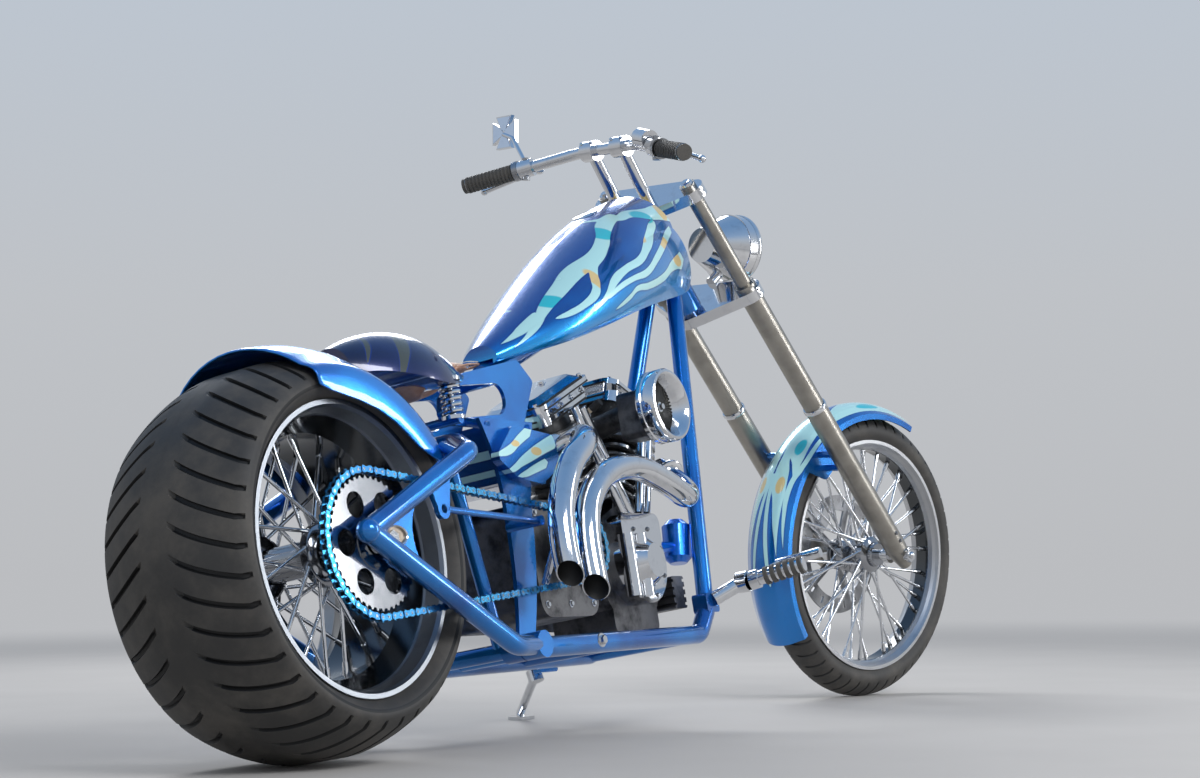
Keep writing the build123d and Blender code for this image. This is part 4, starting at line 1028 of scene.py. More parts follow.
@dataclass
class GroovedTyre:
    """A tyre with cut grooves that sweep from the crown to both shoulders.

    Attributes:
        name: the piece's name.
        node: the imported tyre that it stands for.
        body: the wheel that it rides on.
        axle: the wheel's centre.
        radius: the radius of a round crown.
        half: half the tyre's width.
        lip_radius: the radius of the rim's lip, which the sidewall reaches.
        lip_half: half the width at the beads.
        crown_drop: how far the round crown falls to the tread's edge.
        shoulder: the width from the tread's edge to the tyre's side.
        grooves: the number of grooves round the tyre.
        depth: how deep they are.
        sweep: how far they run back to the shoulder, in pitches of the grooves.
        clear: half the width of the plain band along the crown.
        slit: the width of a groove.
        flat: how far the crown is flattened, below the radius.
    """

    name: str
    node: str
    body: Body
    axle: Point
    radius: float
    half: float
    lip_radius: float
    lip_half: float
    crown_drop: float
    shoulder: float
    grooves: int
    depth: float
    sweep: float
    clear: float
    slit: float
    flat: float = 0.3

    TREAD_STEPS = 14
    SIDE_STEPS = 8
    BEAD_DEPTH = 5.5
    BEAD_WIDTH = 11
    WALL_SHARE = 0.32
    FLOOR_SHARE = 0.9
    SWEEP_BEND = 0.52

    def profile(self) -> list[tuple[float, float, bool]]:
        """The outline from bead to bead.

        Returns:
            Its points, as y, radius and whether the grooves reach it.
        """
        edge = self.half - self.shoulder
        edge_radius = self.radius - self.crown_drop
        tread = []
        for index in range(-self.TREAD_STEPS, self.TREAD_STEPS + 1):
            share = index / self.TREAD_STEPS
            tread.append((edge * share, self.radius - max(self.flat, self.crown_drop * share * share), True))
        side = []
        for step in range(1, self.SIDE_STEPS + 1):
            share = step / self.SIDE_STEPS
            bulge = math.sin(share * math.pi) * (self.half - (edge + self.lip_half) / 2)
            y = edge + (self.lip_half - edge) * share + bulge
            radius = edge_radius + (self.lip_radius + 1 - edge_radius) * share
            side.append((min(y, self.half - 0.3), radius, step == 1))
        bead = self.lip_radius - self.BEAD_DEPTH
        half = [*side, (self.lip_half, bead, False), (self.lip_half - self.BEAD_WIDTH, bead, False)]
        return [(-y, radius, cut) for y, radius, cut in reversed(half)] + tread + half

    def build(self, finishes: Finishes) -> bpy.types.Object:
        """Makes the tyre.

        Args:
            finishes: the finishes to choose from.

        Returns:
            The finished object.
        """
        forge = Forge(self.name, self.body)
        mesh, centre = forge.mesh, Vector(self.axle)
        pitch = math.tau / self.grooves
        outline = self.profile()
        wires = self.first_row(mesh, outline, pitch)
        groove = math.asin(self.slit / (2 * self.WALL_SHARE + self.FLOOR_SHARE) / self.radius)
        wall, floor = self.WALL_SHARE * groove, self.FLOOR_SHARE * groove
        land = (pitch - 2 * wall - floor) / 3
        level = 0.0
        groove_rows = ((wall, self.depth), (floor, self.depth), (wall, 0.0))
        for turn, low in (*groove_rows, *[(land, 0.0)] * 3):
            grown = bmesh.ops.extrude_edge_only(mesh, edges=wires)
            fresh = [item for item in grown["geom"] if isinstance(item, bmesh.types.BMVert)]
            wires = [item for item in grown["geom"] if isinstance(item, bmesh.types.BMEdge)]
            wires = [edge for edge in wires if edge.verts[0] in fresh and edge.verts[1] in fresh]
            bmesh.ops.rotate(mesh, cent=centre, matrix=Matrix.Rotation(-turn, 3, "Y"), verts=fresh)
            for vert, (y, _, cut) in zip(self.in_order(fresh), outline):
                if cut and abs(y) > self.clear:
                    out = Vector((vert.co.x - centre.x, 0, vert.co.z - centre.z)).normalized()
                    vert.co += out * (level - low)
            level = low
        sector = list(mesh.verts) + list(mesh.edges) + list(mesh.faces)
        for index in range(1, self.grooves):
            copy = bmesh.ops.duplicate(mesh, geom=sector)["geom"]
            turned = [item for item in copy if isinstance(item, bmesh.types.BMVert)]
            bmesh.ops.rotate(mesh, cent=centre, matrix=Matrix.Rotation(-index * pitch, 3, "Y"), verts=turned)
        bmesh.ops.remove_doubles(mesh, verts=mesh.verts, dist=0.02)
        bmesh.ops.bridge_loops(mesh, edges=[edge for edge in mesh.edges if edge.is_boundary])
        bmesh.ops.recalc_face_normals(mesh, faces=mesh.faces)
        forge.paint(mesh.faces, finishes["rubber"])
        # Painted shade: the groove floors are painted near-black.
        forge.paint(self.shaded_groove_floors(mesh, outline), finishes["black"])
        return forge.finish("rubber", [self.node], smooth=42)

    def first_row(
        self, mesh: bmesh.types.BMesh, outline: Sequence[tuple[float, float, bool]], pitch: float
    ) -> list[bmesh.types.BMEdge]:
        """The outline's first row of edges, swept back towards both shoulders."""
        tread_half = self.half - self.shoulder
        verts = []
        for y, radius, _ in outline:
            share = min(1.0, abs(y) / tread_half)
            angle = self.sweep * share ** self.SWEEP_BEND * pitch
            spoke = Vector((math.cos(angle) * radius, y, math.sin(angle) * radius))
            verts.append(mesh.verts.new(Vector(self.axle) + spoke))
        return [mesh.edges.new(pair) for pair in zip(verts, verts[1:])]

    def shaded_groove_floors(
        self, mesh: bmesh.types.BMesh, outline: Sequence[tuple[float, float, bool]]
    ) -> list[bmesh.types.BMFace]:
        """The faces at the bottom of the grooves, which are painted near-black as painted shade."""
        found = []
        for face in mesh.faces:
            out = face.calc_center_median() - Vector(self.axle)
            radius = math.hypot(out.x, out.z)
            for (y, here, _), (next_y, there, _) in zip(outline, outline[1:]):
                if y <= out.y <= next_y and next_y > y and max(here, there) > self.lip_radius + 10:
                    sunk = here + (there - here) * (out.y - y) / (next_y - y) - radius
                    if self.clear < abs(out.y) and self.depth * 0.4 < sunk < self.depth * 1.6:
                        found.append(face)
                    break
        return found

    @staticmethod
    def in_order(fresh: list[bmesh.types.BMVert]) -> list[bmesh.types.BMVert]:
        """A new row's vertices in the outline's order, walked from its first end."""
        chain = set(fresh)
        ends = [vert for vert in fresh if sum(edge.other_vert(vert) in chain for edge in vert.link_edges) == 1]
        order = [min(ends, key=lambda vert: vert.co.y)]
        while len(order) < len(fresh):
            beside = (edge.other_vert(order[-1]) for edge in order[-1].link_edges)
            order.append(next(vert for vert in beside if vert in chain and vert not in order[-2:]))
        return order


@dataclass
class LacedWheel:
    """A hub with laced round spokes, nipples at the rim and a ring of screws at each end.

    Attributes:
        name: the piece's name.
        node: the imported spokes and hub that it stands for.
        body: the wheel that it rides on.
        axle: the wheel's centre.
        half: half the hub's length.
        barrel: the radius of its barrel.
        flange_y: how far its flanges stand from the middle.
        flange_radius: the radius at which the spokes leave them.
        rim_radius: the radius at which the spokes reach the rim.
        rim_y: how far they stand from the middle there.
        lean: how far each spoke runs round the wheel, in degrees.
    """

    name: str
    node: str
    body: Body
    axle: Point
    half: float
    barrel: float
    flange_y: float
    flange_radius: float
    rim_radius: float
    rim_y: float
    lean: float
    spokes_a_side: int = 20
    spoke_radius: float = 3.5
    bore: float = 12.6

    def build(self, finishes: Finishes) -> bpy.types.Object:
        """Makes the hub and spokes.

        Args:
            finishes: the finishes to choose from.

        Returns:
            The finished object.
        """
        forge = Forge(self.name, self.body)
        dark, centre = finishes["dark_chrome"], Vector(self.axle)
        side = [
            (self.half, self.bore), (self.half, self.barrel + 5), (self.half - 3, self.barrel + 8),
            (self.flange_y + 14, self.barrel + 8), (self.flange_y + 10, self.flange_radius + 5),
            (self.flange_y + 7, self.flange_radius + 8), (self.flange_y - 7, self.flange_radius + 8),
            (self.flange_y - 10, self.flange_radius + 5), (self.flange_y - 16, self.barrel),
        ]
        profile = side + [(-y, radius) for y, radius in reversed(side)]
        forge.lathe(profile, centre, (0, 1, 0), dark)
        for sign in (-1, 1):
            for index in range(self.spokes_a_side):
                self.spoke(forge, sign, index, finishes["chrome"])
            for index in range(5):
                angle = math.tau * index / 5
                spot = centre + self.spoke_end(angle, self.barrel + 1, sign * self.half)
                forge.bolt(spot - Vector((0, sign * 2.5, 0)), (0, sign, 0), 3.2, dark, height=2.4)
        return forge.finish("chrome", [self.node], smooth=38)

    @staticmethod
    def spoke_end(angle: float, radius: float, y: float) -> Vector:
        """A point from the wheel's centre, by its angle, radius and y."""
        return Vector((radius * math.cos(angle), y, radius * math.sin(angle)))

    def spoke(self, forge: Forge, sign: int, index: int, finish: bpy.types.Material) -> None:
        """One spoke with its nipple and its elbow, on the side that the sign gives."""
        angle = math.radians(360 / self.spokes_a_side * (index + (sign + 1) / 4))
        way = 1 if index % 2 else -1
        centre, rim_angle = Vector(self.axle), angle + math.radians(self.lean) * way
        start = centre + self.spoke_end(angle, self.flange_radius, sign * (self.flange_y + 4 * way))
        end = centre + self.spoke_end(rim_angle, self.rim_radius, sign * self.rim_y)
        run = (end - start).normalized()
        thick = self.spoke_radius
        forge.rod(start, end, thick, finish, sides=12)
        forge.rod(end - run * 26, end - run * 4, thick + 1.6, finish, sides=10, end_radius=thick + 2.4)
        forge.rod(start, start + run * 10, thick + 1.2, finish, sides=10)


@dataclass
class DriveChain:
    """A roller chain round both sprockets: waisted plates, rollers and rivets."""

    pitch: float = 15.875
    y: float = -166.0
    rear_teeth: int = 48
    drive_teeth: int = 24
    pin_half: float = 7.6
    pin_radius: float = 2.6
    roller_half: float = 4.4
    roller_radius: float = 5.0
    plate_tall: float = 6.6
    plate_waist: float = 4.6
    plate_past: float = 5.4

    def stations(self) -> list[Vector]:
        """Each pin's centre, from the top of the rear sprocket back round to it."""
        rear, front = (
            self.pitch / (2 * math.sin(math.pi / teeth)) for teeth in (self.rear_teeth, self.drive_teeth)
        )
        rear_hub, front_hub = (0.0, REAR_AXLE[2]), SPROCKET
        rise = front_hub[1] - rear_hub[1]
        centres, tilt = math.hypot(front_hub[0], rise), math.atan2(rise, front_hub[0])
        taper = math.atan2(rear - front, centres)
        run = math.sqrt(centres ** 2 - (rear - front) ** 2)
        over, under = tilt + math.pi / 2 - taper, tilt - math.pi / 2 + taper
        lower = (math.pi + 2 * taper) * rear
        nose = lower + run
        upper = nose + (math.pi - 2 * taper) * front
        total = upper + run
        links = 2 * round(total / self.pitch / 2)
        found = []
        for index in range(links):
            at = index * total / links
            if at < lower:
                hub, radius, angle, gone = rear_hub, rear, over + at / rear, 0.0
            elif at < nose:
                hub, radius, angle, gone = rear_hub, rear, under, at - lower
            elif at < upper:
                hub, radius, angle, gone = front_hub, front, under + (at - nose) / front, 0.0
            else:
                hub, radius, angle, gone = front_hub, front, over, at - upper
            x = hub[0] + radius * math.cos(angle) - gone * math.sin(angle)
            z = hub[1] + radius * math.sin(angle) + gone * math.cos(angle)
            found.append(Vector((x, self.y, z)))
        return found

    def build(self, finishes: Finishes) -> bpy.types.Object:
        """Makes the chain.

        Args:
            finishes: the finishes to choose from.

        Returns:
            The finished object.
        """
        forge = Forge("roller_chain", Body.FRAME)
        pins = self.stations()
        blue, steel = finishes["chain_blue"], finishes["dark_chrome"]
        across = Vector((0, 1, 0))
        for index, (pin, after) in enumerate(zip(pins, pins[1:] + pins[:1])):
            rivet, roller = across * self.pin_half, across * self.roller_half
            forge.rod(pin - rivet, pin + rivet, self.pin_radius, steel, sides=8)
            forge.rod(pin - roller, pin + roller, self.roller_radius, steel, sides=10)
            middle, along = (pin + after) / 2, (after - pin).normalized()
            up = across.cross(along)
            reach, tall, waist = (after - pin).length / 2 + self.plate_past, self.plate_tall, self.plate_waist
            shape = (
                (-reach, -tall * 0.5), (-reach + 3.4, -tall), (-3.0, -waist), (3.0, -waist),
                (reach - 3.4, -tall), (reach, -tall * 0.5), (reach, tall * 0.5), (reach - 3.4, tall),
                (3.0, waist), (-3.0, waist), (-reach + 3.4, tall), (-reach, tall * 0.5),
            )
            near, far = (4.5, 5.9) if index % 2 else (6.0, 7.4)
            for side in (-1, 1):
                outline = [middle + along * a + up * b + across * (side * near) for a, b in shape]
                forge.plate(outline, across * side * (far - near), blue)
        return forge.finish("steel", ["drive_chain"], smooth=30)


@dataclass
class EngineTrim:
    """Gaskets, screws, plugs and polished caps on the engine and its covers.

    Attributes:
        gaskets: thin plates round each rocker box, as length, width, height up the cylinder and thickness.
        gasket_clip: how much of their corners is clipped.
        cam_cover_y: the flat of the cam cover, round its dome.
        primary_y: where the primary cover's screws are seated, just inside its face.
        gearbox_y: the gearbox's right face.
    """

    gaskets: tuple[tuple[float, float, float, float], ...] = (
        (198.0, 146.0, 345.5, 4.0), (198.6, 146.6, 358.0, 3.5), (229.6, 161.6, 376.5, 3.0),
        (218.0, 150.0, 387.5, 3.0),
    )
    gasket_clip: float = 22.0
    cam_cover_y: float = -112.0
    primary_y: float = 171.5
    gearbox_y: float = -112.0

    @staticmethod
    def axis(lean: float) -> Vector:
        """The direction up a cylinder."""
        turn = math.radians(lean)
        return Vector((math.sin(turn), 0, math.cos(turn)))

    def up(self, lean: float, distance: float, across: float = 0.0, along: float = 0.0) -> Vector:
        """A point measured from the crankshaft: up a cylinder's axis, across it and along the bike."""
        rise = self.axis(lean)
        fore = Vector((rise.z, 0, -rise.x))
        return Vector((CRANK[0], 0, CRANK[1])) + rise * distance + fore * along + Vector((0, across, 0))

    def gasket(
        self, forge: Forge, lean: float, sizes: tuple[float, float, float, float], finish: bpy.types.Material
    ) -> None:
        """One thin plate round a rocker box, with clipped corners."""
        long, wide, low, thick = sizes
        half, side, clip = long / 2, wide / 2, self.gasket_clip
        outline = [
            (half - clip, -side), (half, -side + clip), (half, side - clip), (half - clip, side),
            (clip - half, side), (-half, side - clip), (-half, clip - side), (clip - half, -side),
        ]
        rise = self.up(lean, 1) - self.up(lean, 0)
        forge.plate([self.up(lean, low, across, along) for along, across in outline], rise * thick, finish)

    def plug(self, forge: Forge, lean: float, side: int, finishes: Finishes) -> None:
        """A spark plug with its cap, on one side of a cylinder head."""
        foot = self.up(lean, 322, side * 74, -36 if lean > 0 else 36)
        tip = foot + Vector((0, side * 34, 12))
        forge.rod(foot, foot.lerp(tip, 0.35), 8, finishes["chrome"], sides=6)
        forge.rod(foot.lerp(tip, 0.3), tip, 5.5, finishes["stitch"], sides=12)
        forge.rod(foot.lerp(tip, 0.7), tip + Vector((0, side * 12, 6)), 8, finishes["black"], sides=12)

    def head(self, forge: Forge, lean: float, finishes: Finishes) -> None:
        """The gaskets, screws and plugs of one cylinder's head and rocker box."""
        chrome = finishes["chrome"]
        for sizes in self.gaskets:
            self.gasket(forge, lean, sizes, finishes["black"])
        for along in (-98, 98):
            for across in (-62, 62):
                forge.bolt(self.up(lean, 388, across, along), self.axis(lean), 5.0, chrome, height=7)
        for along in (-54.4, 54.4):
            forge.bolt(self.up(lean, 402, 0, along), self.axis(lean), 6.0, chrome, height=5)
        for side in (-1, 1):
            for along in (-70, -24, 24, 70):
                forge.bolt(self.up(lean, 367, side * 72.6, along), (0, side, 0), 4.0, chrome, height=5)
            self.plug(forge, lean, side, finishes)

    def covers(self, forge: Forge, finishes: Finishes) -> None:
        """The screws of the cam cover, primary cover and gearbox, and the gearbox's oval cap."""
        chrome, dark = finishes["chrome"], finishes["dark_chrome"]
        for index in range(8):
            angle = math.tau * (index + 0.5) / 8
            spot = (CRANK[0] + 72 * math.cos(angle), self.cam_cover_y, CRANK[1] + 10 + 72 * math.sin(angle))
            forge.bolt(spot, (0, -1, 0), 3.6, dark)
        for index in range(12):
            angle = math.tau * index / 12
            for centre, reach in ((CRANK, 76), (SPROCKET, 94)):
                x, z = centre[0] + reach * math.cos(angle), centre[1] + reach * math.sin(angle)
                if centre is SPROCKET or x > centre[0] - 30:
                    forge.bolt((x, self.primary_y, z), (0, 1, 0), 3.6, dark)
        for x, z in ((575, 232), (575, 404), (735, 232), (735, 404), (655, 232)):
            forge.bolt((x, self.gearbox_y, z), (0, -1, 0), 5.0, chrome, height=5)
        rim = [(0, 0.5), (0, 38), (5, 42), (9, 40), (9, 33), (5, 30), (5, 0.5)]
        face = [(0, 0.5), (0, 32), (2, 30), (3.5, 0.5)]
        for profile, y, finish in ((rim, -111.5, chrome), (face, -116, finishes["candy"])):
            cap = forge.lathe(profile, (716, y, 300), (0, -1, 0), finish)
            forge.squeeze(cap, (0.62, 1, 1), (716, 0, 300))

    def build(self, finishes: Finishes) -> bpy.types.Object:
        """Makes the fittings.

        Args:
            finishes: the finishes to choose from.

        Returns:
            The finished object.
        """
        forge = Forge("engine_fittings", Body.FRAME)
        for lean in (-HALF_V, HALF_V):
            self.head(forge, lean, finishes)
        self.covers(forge, finishes)
        return forge.finish("chrome", smooth=30)


@dataclass
class IntakeRing:
    """An open chrome intake ring with dark pleats deep inside."""

    centre: Point = (955.0, -186.0, 606.0)
    radius: float = 74.0
    depth: float = 44.0
    pleats: int = 48
    pleat_radius: float = 1.6

    def build(self, finishes: Finishes) -> bpy.types.Object:
        """Makes the intake.

        Args:
            finishes: the finishes to choose from.

        Returns:
            The finished object.
        """
        forge = Forge("intake_ring", Body.FRAME)
        out, rim, depth = (0, -1, 0), self.radius, self.depth
        ring = [
            (0, 52), (0, rim - 4), (4, rim - 0.5), (12, rim - 0.5), (14, rim - 3), (18, rim - 3),
            (20, rim - 0.5), (depth - 5, rim - 0.5), (depth - 1, rim - 3), (depth, rim - 8),
            (depth - 3, rim - 13), (depth - 14, rim - 18), (depth - 16, rim - 20), (10, rim - 22),
            (8, rim - 24),
        ]
        back = [(2, 0.5), (2, 52), (10, 50), (16, 8), (17, 0.5)]
        forge.lathe(ring, self.centre, out, finishes["chrome"], steps=72)
        forge.lathe(back, self.centre, out, finishes["pleats"], steps=64)
        x, y, z = self.centre
        for index in range(self.pleats):
            angle = math.tau * index / self.pleats
            along, up = math.cos(angle), math.sin(angle)
            near, far = (x + 12 * along, y - 15, z + 12 * up), (x + 50 * along, y - 12, z + 50 * up)
            forge.rod(near, far, self.pleat_radius, finishes["black"], sides=6)
        forge.bolt((x, y - 15, z), out, 7, finishes["chrome"], height=8)
        return forge.finish("chrome", ["air_cleaner"], smooth=40)


@dataclass
class Exhaust:
    """One exhaust pipe: a smooth arch of plated tube with a slanted open mouth and a flange at the head.

    Attributes:
        name: the piece's name.
        node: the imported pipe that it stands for.
        route: the curve's points, from the head to the mouth.
        hanger: the points of its hanger bar.
        radius: the pipe's outer radius.
        wall: its wall.
        slash: how far the slant of its mouth reaches along it.
        faces: the direction in which the slanted mouth looks, beside the pipe's own.
        flange_at: how far the flange stands from its first point.
    """

    name: str
    node: str
    route: tuple[Point, ...]
    hanger: tuple[Point, ...] = ()
    radius: float = 25.0
    wall: float = 2.5
    slash: float = 45.0
    faces: Point = (-0.94, -0.34, 0.0)
    flange_at: float = 34.0

    def build(self, finishes: Finishes) -> bpy.types.Object:
        """Makes the pipe.

        Args:
            finishes: the finishes to choose from.

        Returns:
            The finished object.
        """
        forge = Forge(self.name, Body.FRAME)
        mesh, chrome, radius = forge.mesh, finishes["chrome"], self.radius
        forge.pipe(self.route, radius, chrome, sides=40, capped=False, steps=14)
        end = Vector(self.route[-1])
        run = (end - Vector(self.route[-2])).normalized()
        normal = run + Vector(self.faces) * (self.slash / 2 / radius)
        everything = [*mesh.verts, *mesh.edges, *mesh.faces]
        bmesh.ops.bisect_plane(
            mesh, geom=everything, plane_co=end - run * (self.slash / 2), plane_no=normal, clear_outer=True
        )
        outer = set(mesh.faces)
        skin = {vert for face in outer for vert in face.verts}
        bmesh.ops.solidify(mesh, geom=mesh.faces[:], thickness=self.wall)
        # The inside of the mouth is painted near-black: soot, and painted shade in the pipe's depth.
        sooty_and_shaded_inside = [face for face in mesh.faces if face not in outer and not skin.intersection(face.verts)]
        forge.paint(sooty_and_shaded_inside, finishes["black"])
        start = Vector(self.route[0])
        out = (Vector(self.route[1]) - start).normalized()
        flange = [
            (-5, radius - 1), (-5, radius + 9), (-2, radius + 11), (4, radius + 11), (6, radius + 8),
            (6, radius - 1),
        ]
        forge.lathe(flange, start + out * self.flange_at, out, chrome, steps=40)
        for low, high in zip(self.hanger, self.hanger[1:]):
            forge.rod(low, high, 7, chrome)
        return forge.finish("chrome", [self.node], smooth=50)


@dataclass
class RearFender:
    """The rear fender: a crowned sheet with side skirts that follow a swept lower edge.

    Attributes:
        low_edge: the swept edge, as x and z from back to front.
        front: where the sheet ends in front, in degrees up from straight ahead.
        back: where it ends behind.
        half: half its width.
        crown: its radius at the middle.
        crown_arc: the radius of the arch across it.
        side_rows: the radii of the side's rows, of which the lower two follow the swept edge.
        wall: its wall, in metres.
        rolled: the rounding of its edges, in metres.
    """

    low_edge: tuple[tuple[float, float], ...] = (
        (-140, 604), (-98, 602), (-42, 585), (28, 573), (75, 561), (117, 543), (150, 522), (178, 501),
        (210, 486), (260, 468),
    )
    front: float = 30.0
    back: float = 105.0
    half: float = 160.0
    crown: float = 362.0
    crown_arc: float = 198.7
    side_rows: tuple[float, float, float] = (236.0, 262.0, 288.0)
    wall: float = 0.004
    rolled: float = 0.0015

    def skirt(self, angle: float) -> float:
        """The radius at which the spoke at an angle meets the swept edge."""
        low, high = 150.0, 292.0
        for _ in range(24):
            radius = (low + high) / 2
            x, z = radius * math.cos(angle), REAR_AXLE[2] + radius * math.sin(angle)
            edge = self.low_edge[0][1] if x < self.low_edge[0][0] else self.low_edge[-1][1]
            for (ax, az), (bx, bz) in zip(self.low_edge, self.low_edge[1:]):
                if ax <= x <= bx:
                    edge = az + (bz - az) * (x - ax) / (bx - ax)
            low, high = (radius, high) if z < edge else (low, radius)
        return radius

    def section(self) -> list[tuple[float, float]]:
        """The sheet's section from one side to the other, as y and radius."""
        side = [(self.half, radius) for radius in self.side_rows]
        side += [(self.half - 5, 298.0), (self.half - 14, 305.0)]
        arch = []
        for degrees in range(42, -43, -7):
            turn = math.radians(degrees)
            height = self.crown - self.crown_arc + self.crown_arc * math.cos(turn)
            arch.append((self.crown_arc * math.sin(turn), height))
        return side + arch + [(-y, radius) for y, radius in reversed(side)]

    def build(self, finishes: Finishes) -> bpy.types.Object:
        """Makes the fender.

        Args:
            finishes: the finishes to choose from.

        Returns:
            The finished object.
        """
        forge = Forge("swept_fender", Body.FRAME)
        centre, start = Vector(REAR_AXLE), math.radians(self.front)
        verts = [
            forge.mesh.verts.new(centre + Vector((radius * math.cos(start), y, radius * math.sin(start))))
            for y, radius in self.section()
        ]
        edges = [forge.mesh.edges.new(pair) for pair in zip(verts, verts[1:])]
        bmesh.ops.spin(
            forge.mesh, geom=[*verts, *edges], cent=centre, axis=(0, -1, 0),
            angle=math.radians(self.back - self.front), steps=40, use_merge=False, use_duplicate=False,
        )
        lowest, lower, fixed = self.side_rows
        for vert in forge.mesh.verts:
            out = vert.co - centre
            radius = math.hypot(out.x, out.z)
            if abs(out.y) > self.half - 0.5 and radius < (lower + fixed) / 2:
                angle = math.atan2(out.z, out.x)
                edge = min(self.skirt(angle), fixed - 8)
                wanted = edge if radius < (lowest + lower) / 2 else (edge + fixed) / 2
                vert.co = centre + Vector((wanted * math.cos(angle), out.y, wanted * math.sin(angle)))
        bmesh.ops.recalc_face_normals(forge.mesh, faces=forge.mesh.faces)
        forge.paint(forge.mesh.faces, finishes["rear_fender"])
        made = forge.finish("blue", ["rear_fender"], smooth=60)
        wall = made.modifiers.new("wall", "SOLIDIFY")
        wall.thickness, wall.offset = self.wall, -1.0
        edge = made.modifiers.new("edge", "BEVEL")
        edge.width, edge.segments, edge.limit_method = self.rolled, 2, "ANGLE"
        edge.angle_limit = math.radians(50)
        return made


@dataclass
class LeatherNose:
    """The leather under the seat shell and its nose: a stuffed form, puffed by cloth, with a stitched welt.

    Attributes:
        stations: its bottom, top and half width at places along the bike, each after its x.
        voxel: the size of its remesh, in metres.
        cap: how far the cloth may move, in metres.
        cloth_frames: the length of the cloth simulation.
        pressure: the pressure in it.
        welt_at: the places along the bike through which the welt runs.
    """

    stations: tuple[tuple[float, float, float, float], ...] = (
        (268, 652, 656, 84), (300, 639, 656, 92), (344, 618, 654, 92), (372, 622, 656, 60), (440, 642, 664, 58),
        (470, 664, 703, 58), (530, 682, 708, 50), (592, 699, 708, 30),
    )
    voxel: float = 0.005
    cap: float = 0.006
    cloth_frames: int = 20
    pressure: float = 4.0
    welt_at: tuple[float, ...] = (462, 480, 500, 520, 540, 560, 576, 588)
    welt_radius: float = 2.2

    def at(self, x: float) -> tuple[float, float, float]:
        """The bottom, top and half width at a place along the bike."""
        for one, two in zip(self.stations, self.stations[1:]):
            if x <= two[0]:
                share = max(0.0, (x - one[0]) / (two[0] - one[0]))
                return tuple(a + (b - a) * share for a, b in zip(one[1:], two[1:]))
        return self.stations[-1][1:]

    def puff(self, piece: bpy.types.Object) -> None:
        """Swells the form with a short cloth simulation, capped, and leaves a plain mesh."""
        scene = bpy.context.scene
        even = piece.modifiers.new("even", "REMESH")
        even.mode, even.voxel_size = "VOXEL", self.voxel
        graph = bpy.context.evaluated_depsgraph_get()
        rest = bpy.data.meshes.new_from_object(piece.evaluated_get(graph))
        piece.modifiers.clear()
        materials = list(piece.data.materials)
        piece.data = rest
        cloth = piece.modifiers.new("fill", "CLOTH")
        cloth.settings.use_pressure = True
        cloth.settings.uniform_pressure_force = self.pressure
        cloth.settings.effector_weights.gravity = 0.0
        for frame in range(1, self.cloth_frames + 1):
            scene.frame_set(frame)
        graph = bpy.context.evaluated_depsgraph_get()
        full = bpy.data.meshes.new_from_object(piece.evaluated_get(graph))
        piece.modifiers.clear()
        for old, new in zip(rest.vertices, full.vertices):
            move = new.co - old.co
            if move.length > self.cap:
                new.co = old.co + move.normalized() * self.cap
        piece.data = full
        scene.frame_set(1)
        piece.data.materials.clear()
        for material in materials:
            piece.data.materials.append(material)
        piece.data.shade_smooth()
        soften = piece.modifiers.new("soften", "SUBSURF")
        soften.levels = soften.render_levels = 1

    def build(self, finishes: Finishes) -> bpy.types.Object:
        """Makes the leather and its welt.

        Args:
            finishes: the finishes to choose from.

        Returns:
            The stuffed piece.
        """
        forge = Forge("leather_nose", Body.FRAME)
        bmesh.ops.create_cube(forge.mesh, size=2.0)
        bmesh.ops.subdivide_edges(forge.mesh, edges=forge.mesh.edges[:], cuts=23, use_grid_fill=True)
        first, last = self.stations[0][0] + 6, self.stations[-1][0] - 6
        for vert in forge.mesh.verts:
            u, v, w = vert.co
            x = first + (last - first) * (u + 1) / 2
            low, high, half = self.at(x)
            crown = (1 - 0.5 * abs(u) ** 6) * (1 - 0.55 * abs(v) ** 4)
            middle, tall = (low + high) / 2, (high - low) / 2 - 4
            vert.co = Vector((x, v * (half - 6) * (1 - 0.12 * abs(w) ** 3), middle + w * tall * crown))
        forge.paint(forge.mesh.faces, finishes["tan"])
        made = forge.finish("leather", ["seat_pad"], smooth=180)
        self.puff(made)
        self.welt(finishes)
        return made

    def welt(self, finishes: Finishes) -> None:
        """Makes the welt round the nose, with its stitches."""
        welt = Forge("nose_welt", Body.FRAME)
        edge = []
        for x in self.welt_at:
            low, high, half = self.at(x)
            edge.append((x, half + 1.5, (low + high) / 2 + 2))
        loop = edge + [(597, 14, 704), (597, -14, 704)] + [(x, -y, z) for x, y, z in reversed(edge)]
        welt.pipe(loop, self.welt_radius, finishes["tan"], sides=8)
        for (ax, ay, az), (bx, by, bz) in zip(loop, loop[1:]):
            for share in (0.15, 0.5, 0.85):
                spot = Vector((ax + (bx - ax) * share, ay + (by - ay) * share, az + (bz - az) * share + 5.5))
                spot.y *= 0.95
                way = Vector((bx - ax, by - ay, bz - az)).normalized() * 2.2
                welt.rod(spot - way, spot + way, 0.7, finishes["stitch"], sides=6)
        welt.finish("leather", smooth=60)


